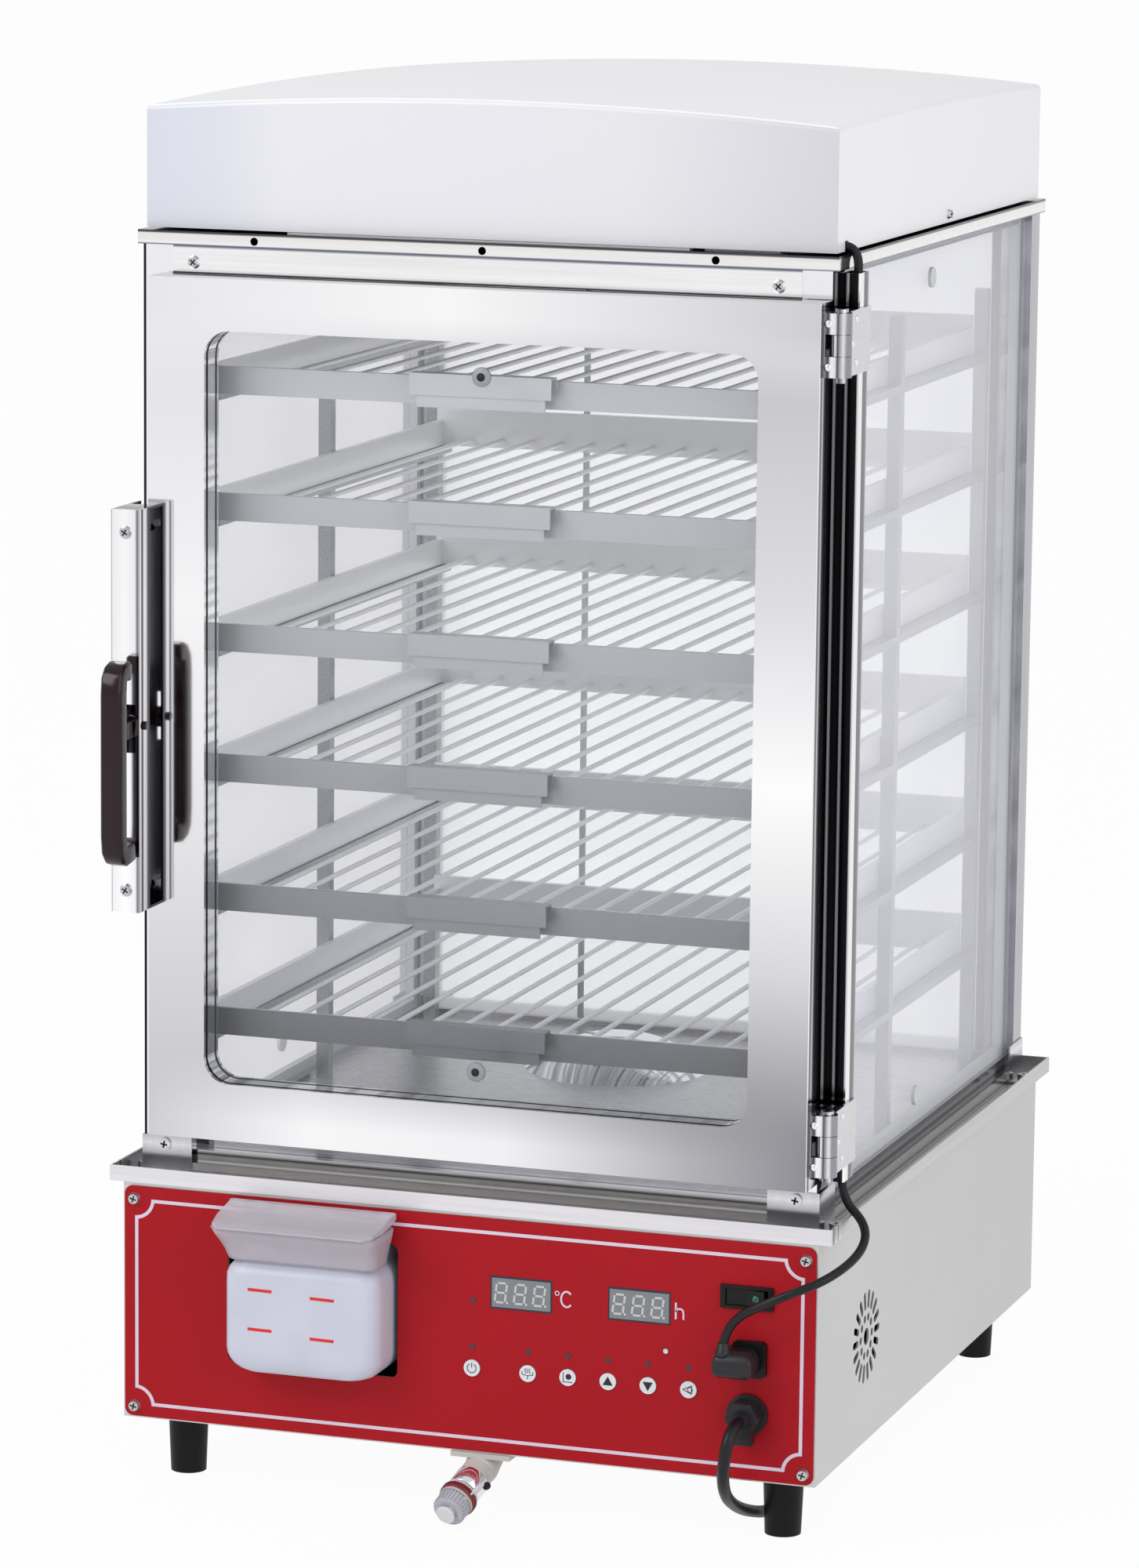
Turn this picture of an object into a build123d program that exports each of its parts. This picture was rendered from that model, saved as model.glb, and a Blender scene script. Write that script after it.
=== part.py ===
"""Countertop steam warming cabinet: a glazed cabinet with six trays on a red-fronted steam base.

Millimetres, +Z up. The origin is on the table under the middle of the base, and the door faces -Y.
"""

import os
from math import cos, pi, radians, sin, tan

from build123d import *

os.makedirs("parts", exist_ok=True)

# Clearances
MOVE_GAP = 0.3
PIN_GAP = 0.05
FIT_GAP = 0.2

# Whole width and depth, which the rimmed tray on the base has
RIM_W = 440.0
RIM_D = 488.0

# Base housing
BASE_W = RIM_W - 16.0
BASE_D = RIM_D - 4.0
BASE_H = 142.0
VENT_Y = -141.0
VENT_RISE = 63.4
VENT_EYE_D = 10.0
VENT_INNER = (11.5, 10, 4.8)
VENT_OUTER = (22.0, 18, 11.0, 4.2)
SHEET = 1.2
FOOT_H = 38.0
FOOT_TOP_D = 24.0
FOOT_TIP_D = 21.0
FOOT_X = BASE_W / 2 - 28.0
FOOT_Y = BASE_D / 2 - 32.0
FOOT_SCREW_D = 6.0
FOOT_SCREW_L = 8.0

# Heights that the other sizes start from
BASE_BOTTOM = FOOT_H
BASE_TOP = FOOT_H + BASE_H

# Rimmed tray on top of the base
RIM_H = 9.2
STEAM_HOLE_D = 90.0
STEAM_X = -20.0
STEAM_Y = 95.0

# Red front panel
PANEL_W = BASE_W - 2.0
PANEL_H = BASE_H - 3.3
PANEL_T = 1.0
PANEL_CORNER_R = 5.0
PANEL_GAP_Z = 1.0
SCREW_D = 7.8
SCREW_H = 2.2
SCREW_SHANK_D = 4.0
SCREW_SHANK_L = 6.0
PANEL_SCREW_X = PANEL_W / 2 - 6.0
PANEL_SCREW_ZS = (BASE_BOTTOM + PANEL_GAP_Z + 6.0, BASE_BOTTOM + PANEL_GAP_Z + PANEL_H - 7.7)

# Controls on the panel
DISPLAY_W = 37.5
DISPLAY_H = 19.4
DISPLAY_XS = (35.05, 106.35)
DISPLAY_Z = BASE_BOTTOM + 96.6
LIGHT_D = 3.4
LIGHT_ROW_XS = (5.6, 39.6, 63.8, 88.0, 112.0, 136.3)
LIGHT_ROW_Z = BASE_BOTTOM + 63.1
RESET_X = 122.5
RESET_Z = BASE_BOTTOM + 71.6
HEAT_LIGHT_Z = BASE_BOTTOM + 90.4
BUTTON_D = 9.8
BUTTON_XS = (5.5, 39.5, 63.8, 88.1, 112.2, 136.5)
BUTTON_NAMES = ("power", "steam", "set", "up", "down", "view")
BUTTON_Z = BASE_BOTTOM + 50.4
BUTTON_OUT = 0.8
BUTTON_TRAVEL = 0.8
BUTTON_COLLAR_D = 12.6
BUTTON_COLLAR_T = 1.2
BOARD_T = 1.6
BOARD_STANDOFF = 8.0
BOARD_MARGIN = 12.0
STANDOFF_D = 6.0

# Rocker switch
ROCKER_X = 170.6
ROCKER_Z = BASE_BOTTOM + 107.6
BEZEL_W = 31.4
BEZEL_H = 13.5
BEZEL_T = 1.6
SWITCH_BODY_W = 28.4
SWITCH_BODY_H = 11.9
SWITCH_BODY_D = 20.0
ROCKER_W = 24.0
ROCKER_H = 9.2
ROCKER_DEPTH = 6.0
ROCKER_TILT = 7.0
ROCKER_PIN_D = 2.6
ROCKER_PIN_L = 0.9

# Lamp outlet and its plug
OUTLET_X = 173.0
OUTLET_Z = BASE_BOTTOM + 72.2
OUTLET_W = 20.0
OUTLET_H = 21.0
OUTLET_T = 3.5
OUTLET_BODY = 15.0
OUTLET_BODY_D = 20.0
CONNECTOR_W = 24.0
CONNECTOR_H = 15.0
CONNECTOR_D = 19.0
CONNECTOR_SHIFT = -5.0

# Mains cord gland
GLAND_X = 172.0
GLAND_Z = BASE_BOTTOM + 39.5
GLAND_FLANGE_D = 24.0
GLAND_FLANGE_T = 3.0
GLAND_NUT_AF = 18.0
GLAND_NUT_L = 10.0
GLAND_NOSE_L = 6.0
GLAND_NOSE_D = 11.0
GLAND_TIP_D = 8.6
GLAND_INSIDE_L = 14.0
GLAND_LUG_W = 10.0
GLAND_LUG_T = 7.0
GLAND_LUG_DROP = 16.0

# Water bottle and its lid
BOTTLE_HOLE = ((-146.0, -40.4), (BASE_BOTTOM + 39.6, BASE_BOTTOM + 119.0))
BOTTLE_HOLE_R = 4.5
BOTTLE_X = -91.5
BOTTLE_W = 96.0
BOTTLE_BOTTOM = BASE_BOTTOM + 41.0
BOTTLE_SHOULDER = BOTTLE_BOTTOM + 62.0
BOTTLE_NECK_TOP = BOTTLE_SHOULDER + 14.0
BOTTLE_NECK_W = 84.0
BOTTLE_OUT = 27.0
BOTTLE_IN = 112.0
BOTTLE_R = 15.0
BOTTLE_WALL = 2.0
SPOUT_D = 16.0
SPOUT_Z = BOTTLE_BOTTOM + 13.0
FUNNEL_TOP = BOTTLE_NECK_TOP + 13.0
FUNNEL_W = 102.0
FUNNEL_OUT = 43.0
FUNNEL_WALL = 2.0
LID_T = 2.4
LID_HINGE_Y = -BASE_D / 2 - 6.0
LID_HINGE_Z = FUNNEL_TOP + 6.6
LID_HINGE_R = 2.2

# Boiler
BOILER_W = 250.0
BOILER_D = 230.0
BOILER_H = BASE_H - 50.0
BOILER_FLANGE = 14.0
BOILER_Y = 30.0
BOILER_T = 1.5
HEATER_TUBE_D = 8.0
HEATER_LEG_GAP = 60.0
HEATER_LEN = 150.0
HEATER_RISE = 18.0
DIFFUSER_D = 115.0
DIFFUSER_H = 22.0
DIFFUSER_T = 1.0
DIFFUSER_HOLES = 12
DIFFUSER_HOLE_D = 5.0
DIFFUSER_RING_D = 84.0
CABINET_FLOOR_Z = BASE_TOP + 13.0
CABINET_FLOOR_T = 1.2

# Drain valve
DRAIN_X = 11.0
DRAIN_Y = 13.0 - BASE_D / 2
DRAIN_FLANGE_W = 36.0
DRAIN_FLANGE_D = 30.0
DRAIN_FLANGE_T = 3.0
DRAIN_START = (10.0, 4.0 - BASE_D / 2, BASE_BOTTOM - 10.0)
DRAIN_END = (4.2, -BASE_D / 2 - 24.6, BASE_BOTTOM - 23.5)
DRAIN_TUBE_D = 19.0
DRAIN_ELBOW_D = 20.0
DRAIN_BORE_D = 9.0
DRAIN_SPIGOT_D = 12.0
DRAIN_SPIGOT_L = 6.2
DRAIN_RING_D = 21.0
DRAIN_RING_L = 7.0
CAP_D = 18.5
CAP_L = 8.6
CAP_FACE_T = 2.0
CAP_BOSS_D = 8.0
CAP_BOSS_H = 1.6
CAP_RIBS = 30

# Cabinet frame
POST = 19.0
POST_WALL = 1.0
FRAME_W = BASE_W - 12.0
FRAME_D = BASE_D - 35.0
POST_TOP = BASE_TOP + 547.0
RAIL_H = 16.0
RAIL_STEP_Z = 9.0
STRIP_W = FRAME_W - 2 * POST + 0.8
STRIP_H = 16.1
STRIP_T = 1.0
STRIP_SCREW_X = STRIP_W / 2 - 12.9
STRIP_SCREW_Z = POST_TOP - 9.5
TRIM_W = FRAME_W + 6.0
TRIM_D = FRAME_D + 3.0
TRIM_H = 8.1
TRIM_T = 1.2
TRIM_LEDGE = 22.0
TRIM_HOLE_D = 4.7
TRIM_HOLE_XS = (-137.5, 0.0, 137.5)
TRIM_HOLE_Z = POST_TOP + 3.5

# Glass
GLASS_T = 3.0
GLASS_SPACER = 5.0
GLASS_IN = 4.0
SEAL_W = 6.0
GROMMET_D = 12.0
GROMMET_T = 2.0
GROMMET_Y = -12.0
GROMMET_DROP = 21.0
GROMMET_RISE = 20.0

# White top cover
COVER_W = TRIM_W - 6.5
COVER_D = TRIM_D - 12.0
COVER_BOTTOM = POST_TOP + TRIM_H + 1.2
COVER_CORNER_H = 69.4
CROWN_X = 9.0
CROWN_Y = 3.0
COVER_T = 1.2
COVER_EDGE_R = 3.0
COVER_SCREW_Y = 11.0
COVER_SCREW_Z = COVER_BOTTOM + 5.0
COVER_SCREW_D = 6.0
LAMP_HOLDER = (44.0, 60.0, 24.0)
LAMP_HOLDER_X = FRAME_W / 2 - 56.0
LAMP_HOLDER_Y = 38.5 - FRAME_D / 2
LAMP_TUBE_D = 16.0
LAMP_TUBE_L = 250.0

# Cable duct on the front right post
DUCT_W = 10.6
DUCT_D = 17.0
DUCT_T = 0.8
DUCT_Y = POST + 4.0 - FRAME_D / 2
DUCT_TOP = POST_TOP - 2.0
DUCT_BOTTOM = BASE_TOP + 29.0

# Door
GASKET_T = 2.7
DOOR_T = 22.0
DOOR_WALL = 1.2
DOOR_LEFT = 13.0 - FRAME_W / 2
DOOR_RIGHT = FRAME_W / 2
DOOR_BOTTOM = BASE_TOP + 31.0
DOOR_TOP = POST_TOP - 16.0
DOOR_FRONT = -FRAME_D / 2 - GASKET_T - MOVE_GAP - DOOR_T
WINDOW_X = (DOOR_LEFT + 34.5, DOOR_RIGHT - 35.5)
WINDOW_Z = (DOOR_BOTTOM + 33.5, DOOR_TOP - 29.7)
WINDOW_R = 15.0
WINDOW_LIP = 3.0
DOOR_GLASS_SET = 1.5
GASKET_W = 8.0
GASKET_IN = 3.0
DOOR_GROMMET_D = 10.0
DOOR_GROMMET_X = 8.0
DOOR_GROMMET_INSET = 19.4

# Hinges
HINGE_X = DOOR_RIGHT + 9.0
HINGE_Y = DOOR_FRONT + 9.5
BARREL_D = 12.0
PIN_D = 5.0
PIN_HEAD_D = 7.4
PIN_HEAD_H = 2.0
PIN_END = 3.0
UPPER_HINGE_Z = (DOOR_TOP - 41.0, DOOR_TOP - 5.0)
LOWER_HINGE_Z = (DOOR_BOTTOM + 8.0, DOOR_BOTTOM + 44.0)
LEAF_T = 1.5
DOOR_LEAF_D = 16.0
POST_LEAF_REAR = HINGE_Y + 29.0
KNUCKLES = 3

# Handle
HANDLE_X = (DOOR_LEFT - 12.0, DOOR_LEFT + 5.0)
HANDLE_Z = (DOOR_BOTTOM + 136.0, DOOR_BOTTOM + 369.0)
HANDLE_T = 1.5
HANDLE_WEB = 16.0
HANDLE_FRONT = DOOR_FRONT - 26.0
HANDLE_LEFT_REAR = DOOR_FRONT + 15.0
HANDLE_SCREW_X = DOOR_LEFT - 3.0
HANDLE_SCREW_ZS = (HANDLE_Z[1] - 13.0, HANDLE_Z[0] + 13.0)
PIVOT_Y = HANDLE_FRONT + 8.0
PIVOT_Z = DOOR_BOTTOM + 244.0
PIVOT_D = 5.0
SLOT_Z = (PIVOT_Z - 15.0, PIVOT_Z + 13.0)
LEVER_X = DOOR_LEFT - 1.0
LEVER_W = 12.0
LEVER_NECK_W = 6.0
LEVER_FRONT = HANDLE_FRONT - 28.5
LEVER_Z = (PIVOT_Z - 78.0, PIVOT_Z + 40.0)
LEVER_DEPTH = 15.0
ARM_T = 2.5
ARM_H = 8.0
KEEPER_GAP = 1.0
STRIKER_T = 3.0
STRIKER_Z = (PIVOT_Z - 20.0, PIVOT_Z + 20.0)

# Corner brackets
BRACKET_T = 1.5
BRACKET_LEG = 30.0
BRACKET_TOP = BASE_TOP + 25.0
BRACKET_GAP = 1.0

# Trays and their racks
TRAY_TOPS = tuple(BASE_TOP + rise for rise in (477.2, 404.0, 327.8, 251.3, 175.2, 101.4))
TRAY_W = FRAME_W - 62.0
TRAY_FRONT = 12.5 - FRAME_D / 2
TRAY_D = FRAME_D - 49.0
TRAY_RAIL_H = 16.0
TRAY_RAIL_T = 4.0
TRAY_REAR_H = 24.0
TRAY_ROD_D = 3.0
TRAY_RODS = 16
TRAY_ROD_DROP = 11.0
TRAY_PULL_W = 85.0
TRAY_PULL_X = -2.0
TRAY_PULL_Y = TRAY_FRONT - 10.0
TRAY_PULL_T = 1.2
TRAY_PULL_UP = 2.5
TRAY_PULL_H = 12.4
TRAY_LIP_H = 7.0
RUNNER_H = 5.0
RUNNER_W = 14.0
RACK_POST = 8.0
RACK_YS = (TRAY_FRONT + 16.0, TRAY_FRONT + 212.0, TRAY_FRONT + TRAY_D + 4.0)

# Cords
LAMP_CABLE_D = 5.2
MAINS_D = 7.1
MAINS_LENGTH = 1500.0
COIL_X = 118.0
COIL_Y = RIM_D / 2 + 68.0
COIL_MEAN_D = 75.1
COIL_PITCH = 7.9
COIL_LIFT = 7.8
PLUG_LEAD = 22.0
PLUG_L = 36.0
PLUG_W = 24.0
PLUG_H = 21.0
PIN_BLADE = (17.0, 6.3, 1.6)

# Places that follow from the sizes
BASE_FRONT = -BASE_D / 2
BASE_SIDE = BASE_W / 2
WALL_IN_X = BASE_SIDE - SHEET
WALL_IN_Y = BASE_D / 2 - SHEET
RIM_TOP = BASE_TOP + RIM_H
TRAY_FLOOR = BASE_TOP + SHEET
PANEL_FACE = BASE_FRONT - PANEL_T
PANEL_BOTTOM = BASE_BOTTOM + PANEL_GAP_Z
PANEL_TOP = PANEL_BOTTOM + PANEL_H
WALL_BACK = BASE_FRONT + SHEET
BOARD_FRONT = WALL_BACK + BOARD_STANDOFF
FRAME_X = FRAME_W / 2
FRAME_Y = FRAME_D / 2
POST_IN_X = FRAME_X - POST
POST_IN_Y = FRAME_Y - POST
RAIL_TOP = TRAY_FLOOR + RAIL_H
DOOR_REAR = DOOR_FRONT + DOOR_T
TRIM_TOP = POST_TOP + TRIM_H
COVER_CORNER_Z = COVER_BOTTOM + COVER_CORNER_H
DUCT_X = FRAME_X + DUCT_W / 2
BOTTLE_FRONT = PANEL_FACE - BOTTLE_OUT
GLAND_FACE = PANEL_FACE - GLAND_FLANGE_T
GLAND_END = GLAND_FACE - GLAND_NUT_L - GLAND_NOSE_L
OUTLET_FACE = PANEL_FACE - OUTLET_T
MAINS_LOW = MAINS_D / 2
LIGHT_PLACES = [(x, LIGHT_ROW_Z) for x in LIGHT_ROW_XS]
LIGHT_PLACES.append((LIGHT_ROW_XS[0], HEAT_LIGHT_Z))
LIGHT_PLACES.append((RESET_X, RESET_Z))


def block(xs, ys, zs, mode=Mode.ADD):
    """Add or cut a box between two X, two Y and two Z values."""
    with Locations((sum(xs) / 2, sum(ys) / 2, sum(zs) / 2)):
        Box(abs(xs[1] - xs[0]), abs(ys[1] - ys[0]), abs(zs[1] - zs[0]), mode=mode)


def rod(start, end, diameter, mode=Mode.ADD):
    """Add or cut a round bar between two points."""
    axis = Vector(*end) - Vector(*start)
    with BuildSketch(Plane(origin=start, z_dir=axis)) as section:
        Circle(diameter / 2)
    extrude(section.sketch, amount=axis.length, mode=mode)


def save(part, name):
    """Label a finished piece and write it to its own file."""
    part.label = name
    export_step(part, f"parts/{name}.step")


def fillet_radii(points, first_share=0.45):
    """Bend radii for a run of points: as large as the shorter run beside each bend allows."""
    radii = []
    for i in range(1, len(points) - 1):
        before = Vector(*points[i]) - Vector(*points[i - 1])
        after = Vector(*points[i + 1]) - Vector(*points[i])
        turn = radians(before.get_angle(after))
        share_before = first_share if i == 1 else 0.45
        reach = min(share_before * before.length, 0.45 * after.length)
        radii.append(reach / tan(turn / 2))
    return radii


def tube_along(points, radii, diameter):
    """A tube of one diameter along straight runs joined by arcs."""
    with BuildPart() as tube:
        with BuildLine() as path:
            FilletPolyline(*points, radius=radii)
        with BuildSketch(Plane(origin=path.line @ 0, z_dir=path.line % 0)):
            Circle(diameter / 2)
        sweep(path=path.line)
    return tube.part, path.wires()[0].length


def panel_openings(mode=Mode.SUBTRACT):
    """Cut everything that passes through the red panel and the wall behind it."""
    deep = (PANEL_FACE - 1.0, WALL_BACK + 1.0)
    with BuildSketch(Plane.XZ.offset(-deep[1])) as cuts:
        with Locations((sum(BOTTLE_HOLE[0]) / 2, sum(BOTTLE_HOLE[1]) / 2)):
            hole_w = BOTTLE_HOLE[0][1] - BOTTLE_HOLE[0][0]
            RectangleRounded(hole_w, BOTTLE_HOLE[1][1] - BOTTLE_HOLE[1][0], BOTTLE_HOLE_R)
        with Locations([(x, DISPLAY_Z) for x in DISPLAY_XS]):
            Rectangle(DISPLAY_W + FIT_GAP, DISPLAY_H + FIT_GAP)
        with Locations([(x, z) for x, z in LIGHT_PLACES]):
            Circle(LIGHT_D / 2 + FIT_GAP / 2)
        with Locations([(x, BUTTON_Z) for x in BUTTON_XS]):
            Circle(BUTTON_D / 2 + MOVE_GAP)
        with Locations((ROCKER_X, ROCKER_Z)):
            Rectangle(SWITCH_BODY_W, SWITCH_BODY_H)
        with Locations((OUTLET_X, OUTLET_Z)):
            Rectangle(OUTLET_BODY, OUTLET_BODY)
        with Locations((GLAND_X, GLAND_Z)):
            Circle(GLAND_NOSE_D / 2)
        with Locations([(x, z) for x in (-PANEL_SCREW_X, PANEL_SCREW_X) for z in PANEL_SCREW_ZS]):
            Circle(SCREW_SHANK_D / 2)
    extrude(cuts.sketch, amount=deep[1] - deep[0], mode=mode)


# Folded sheet body of the base, open above and below
with BuildPart() as base_body:
    block((-BASE_SIDE, BASE_SIDE), (BASE_FRONT, -BASE_FRONT), (BASE_BOTTOM, BASE_TOP))
    block(
        (-WALL_IN_X, WALL_IN_X), (-WALL_IN_Y, WALL_IN_Y), (BASE_BOTTOM, BASE_TOP),
        mode=Mode.SUBTRACT,
    )
    panel_openings()
    with BuildSketch(Plane.YZ.offset(WALL_IN_X - 1.0)) as vents:
        with Locations((VENT_Y, BASE_BOTTOM + VENT_RISE)):
            Circle(VENT_EYE_D / 2)
            with PolarLocations(VENT_INNER[0], VENT_INNER[1]):
                Circle(VENT_INNER[2] / 2)
            with PolarLocations(VENT_OUTER[0], VENT_OUTER[1]):
                SlotOverall(VENT_OUTER[2], VENT_OUTER[3])
    extrude(vents.sketch, amount=SHEET + 2.0, mode=Mode.SUBTRACT)
save(base_body.part, "base_body")

# Plate that closes the base from below
with BuildPart() as bottom_plate:
    block(
        (-WALL_IN_X, WALL_IN_X), (-WALL_IN_Y, WALL_IN_Y), (BASE_BOTTOM, BASE_BOTTOM + SHEET)
    )
    with Locations((DRAIN_X, DRAIN_Y, BASE_BOTTOM)):
        Cylinder(DRAIN_SPIGOT_D / 2, 4 * SHEET, mode=Mode.SUBTRACT)
    with GridLocations(2 * FOOT_X, 2 * FOOT_Y, 2, 2):
        Cylinder(FOOT_SCREW_D / 2, 2 * (BASE_BOTTOM + SHEET) + 1.0, mode=Mode.SUBTRACT)
save(bottom_plate.part, "bottom_plate")

# Four rubber feet, each with its screw into the base
with BuildPart() as feet:
    with BuildSketch(Plane.XY) as foot_tips:
        with GridLocations(2 * FOOT_X, 2 * FOOT_Y, 2, 2):
            Circle(FOOT_TIP_D / 2)
    for corner in foot_tips.sketch.faces():
        place = corner.center()
        with BuildSketch(Plane(origin=(place.X, place.Y, 0))) as tip:
            Circle(FOOT_TIP_D / 2)
        with BuildSketch(Plane(origin=(place.X, place.Y, FOOT_H))) as top:
            Circle(FOOT_TOP_D / 2)
        loft(sections=[tip.sketch, top.sketch])
    with Locations((0, 0, FOOT_H + FOOT_SCREW_L / 2)):
        with GridLocations(2 * FOOT_X, 2 * FOOT_Y, 2, 2):
            Cylinder(FOOT_SCREW_D / 2, FOOT_SCREW_L)
save(feet.part, "feet")

# Shallow rimmed tray that carries the cabinet
with BuildPart() as base_tray:
    block((-RIM_W / 2, RIM_W / 2), (-RIM_D / 2, RIM_D / 2), (BASE_TOP, RIM_TOP))
    block(
        (SHEET - RIM_W / 2, RIM_W / 2 - SHEET),
        (SHEET - RIM_D / 2, RIM_D / 2 - SHEET),
        (TRAY_FLOOR, RIM_TOP),
        mode=Mode.SUBTRACT,
    )
    with Locations((STEAM_X, STEAM_Y, BASE_TOP)):
        Cylinder(STEAM_HOLE_D / 2, 4 * SHEET, mode=Mode.SUBTRACT)
save(base_tray.part, "base_tray")

# Red front panel
with BuildPart() as front_panel:
    with BuildSketch(Plane.XZ.offset(-BASE_FRONT)) as panel_face:
        with Locations((0, (PANEL_BOTTOM + PANEL_TOP) / 2)):
            RectangleRounded(PANEL_W, PANEL_H, PANEL_CORNER_R)
    extrude(panel_face.sketch, amount=PANEL_T)
    panel_openings()
save(front_panel.part, "front_panel")


def pan_screw(x, y, z, out, head_d, shank_l):
    """A domed screw head on a face, with its shank behind it. out is the way the head faces."""
    out = Vector(*out)
    with BuildSketch(Plane(origin=(x, y, z), z_dir=out)) as head:
        Circle(head_d / 2)
    extrude(head.sketch, amount=SCREW_H, taper=25)
    with BuildSketch(Plane(origin=(x, y, z), z_dir=-out)) as shank:
        Circle(SCREW_SHANK_D / 2)
    extrude(shank.sketch, amount=shank_l)


# Screws of the fixed part
with BuildPart() as panel_screws:
    for x in (-PANEL_SCREW_X, PANEL_SCREW_X):
        for z in PANEL_SCREW_ZS:
            pan_screw(x, PANEL_FACE, z, (0, -1, 0), SCREW_D, PANEL_T + SHEET + 3.0)
    for x in (-STRIP_SCREW_X, STRIP_SCREW_X):
        pan_screw(x, -FRAME_Y - STRIP_T, STRIP_SCREW_Z, (0, -1, 0), SCREW_D, STRIP_T + 4.0)
    for side in (-1, 1):
        pan_screw(
            side * COVER_W / 2, COVER_SCREW_Y, COVER_SCREW_Z, (side, 0, 0), COVER_SCREW_D, 5.0
        )
save(panel_screws.part, "panel_screws")

# Circuit board behind the panel, on four standoffs
with BuildPart() as control_board:
    board_x = (LIGHT_ROW_XS[0] - BOARD_MARGIN - 4.0, LIGHT_ROW_XS[-1] + BOARD_MARGIN)
    board_z = (BUTTON_Z - BOARD_MARGIN, DISPLAY_Z + DISPLAY_H / 2 + BOARD_MARGIN)
    block(board_x, (BOARD_FRONT, BOARD_FRONT + BOARD_T), board_z)
    for x in (board_x[0] + 3.5, board_x[1] - 3.5):
        for z in (board_z[0] + 3.5, board_z[1] - 3.5):
            rod((x, WALL_BACK, z), (x, BOARD_FRONT, z), STANDOFF_D)
    for x in BUTTON_XS:
        block(
            (x - 3.0, x + 3.0),
            (BOARD_FRONT - 2.4, BOARD_FRONT),
            (BUTTON_Z - 3.0, BUTTON_Z + 3.0),
        )
save(control_board.part, "control_board")

# The two three-digit displays
with BuildPart() as displays:
    for x in DISPLAY_XS:
        block(
            (x - DISPLAY_W / 2, x + DISPLAY_W / 2),
            (PANEL_FACE, BOARD_FRONT),
            (DISPLAY_Z - DISPLAY_H / 2, DISPLAY_Z + DISPLAY_H / 2),
        )
save(displays.part, "displays")

# Indicator lights on the board
with BuildPart() as indicator_lights:
    for x, z in LIGHT_PLACES:
        rod((x, PANEL_FACE - 0.2, z), (x, BOARD_FRONT, z), LIGHT_D)
save(indicator_lights.part, "indicator_lights")

# Six push buttons, each with the collar that keeps it behind the wall
for button_name, button_x in zip(BUTTON_NAMES, BUTTON_XS):
    collar_y = WALL_BACK + MOVE_GAP
    with BuildPart() as button:
        rod(
            (button_x, PANEL_FACE - BUTTON_OUT, BUTTON_Z),
            (button_x, collar_y + BUTTON_COLLAR_T, BUTTON_Z),
            BUTTON_D,
        )
        rod(
            (button_x, collar_y, BUTTON_Z),
            (button_x, collar_y + BUTTON_COLLAR_T, BUTTON_Z),
            BUTTON_COLLAR_D,
        )
        stem_end = BOARD_FRONT - 2.4 - BUTTON_TRAVEL - MOVE_GAP
        rod((button_x, collar_y, BUTTON_Z), (button_x, stem_end, BUTTON_Z), 4.0)
    save(button.part, f"button_{button_name}")

# Switch housing with its bezel
with BuildPart() as rocker_housing:
    block(
        (ROCKER_X - BEZEL_W / 2, ROCKER_X + BEZEL_W / 2),
        (PANEL_FACE - BEZEL_T, PANEL_FACE),
        (ROCKER_Z - BEZEL_H / 2, ROCKER_Z + BEZEL_H / 2),
    )
    block(
        (ROCKER_X - SWITCH_BODY_W / 2, ROCKER_X + SWITCH_BODY_W / 2),
        (PANEL_FACE, PANEL_FACE + SWITCH_BODY_D),
        (ROCKER_Z - SWITCH_BODY_H / 2, ROCKER_Z + SWITCH_BODY_H / 2),
    )
    block(
        (ROCKER_X - ROCKER_W / 2 - 0.6, ROCKER_X + ROCKER_W / 2 + 0.6),
        (PANEL_FACE - BEZEL_T, PANEL_FACE + 2 * ROCKER_DEPTH),
        (ROCKER_Z - ROCKER_H / 2 - MOVE_GAP, ROCKER_Z + ROCKER_H / 2 + MOVE_GAP),
        mode=Mode.SUBTRACT,
    )
    pin_reach = ROCKER_H / 2 + ROCKER_PIN_L + MOVE_GAP
    rod(
        (ROCKER_X, PANEL_FACE + ROCKER_DEPTH / 2, ROCKER_Z - pin_reach),
        (ROCKER_X, PANEL_FACE + ROCKER_DEPTH / 2, ROCKER_Z + pin_reach),
        ROCKER_PIN_D + 2 * PIN_GAP,
        mode=Mode.SUBTRACT,
    )
save(rocker_housing.part, "rocker_housing")

# Rocker, lying pressed in at its left end
with BuildPart() as rocker:
    rocker_axis = (ROCKER_X, PANEL_FACE + ROCKER_DEPTH / 2)
    tilt = radians(ROCKER_TILT)
    rocker_plane = Plane(
        origin=(rocker_axis[0], rocker_axis[1], ROCKER_Z - ROCKER_H / 2),
        x_dir=(cos(tilt), -sin(tilt), 0),
        z_dir=(0, 0, 1),
    )
    with BuildSketch(rocker_plane) as rocker_profile:
        with BuildLine():
            Polyline(
                (-ROCKER_W / 2 + 0.4, -ROCKER_DEPTH / 2 - 2.2),
                (0, -ROCKER_DEPTH / 2 - 0.9),
                (ROCKER_W / 2 - 0.4, -ROCKER_DEPTH / 2 - 2.2),
                (ROCKER_W / 2 - 1.2, ROCKER_DEPTH / 2 - 2.0),
                (3.0, ROCKER_DEPTH / 2 + 1.0),
                (-3.0, ROCKER_DEPTH / 2 + 1.0),
                (-ROCKER_W / 2 + 1.2, ROCKER_DEPTH / 2 - 2.0),
                close=True,
            )
        make_face()
    extrude(rocker_profile.sketch, amount=ROCKER_H)
    rod(
        (*rocker_axis, ROCKER_Z - ROCKER_H / 2 - ROCKER_PIN_L),
        (*rocker_axis, ROCKER_Z + ROCKER_H / 2 + ROCKER_PIN_L),
        ROCKER_PIN_D,
    )
save(rocker.part, "rocker")

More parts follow.
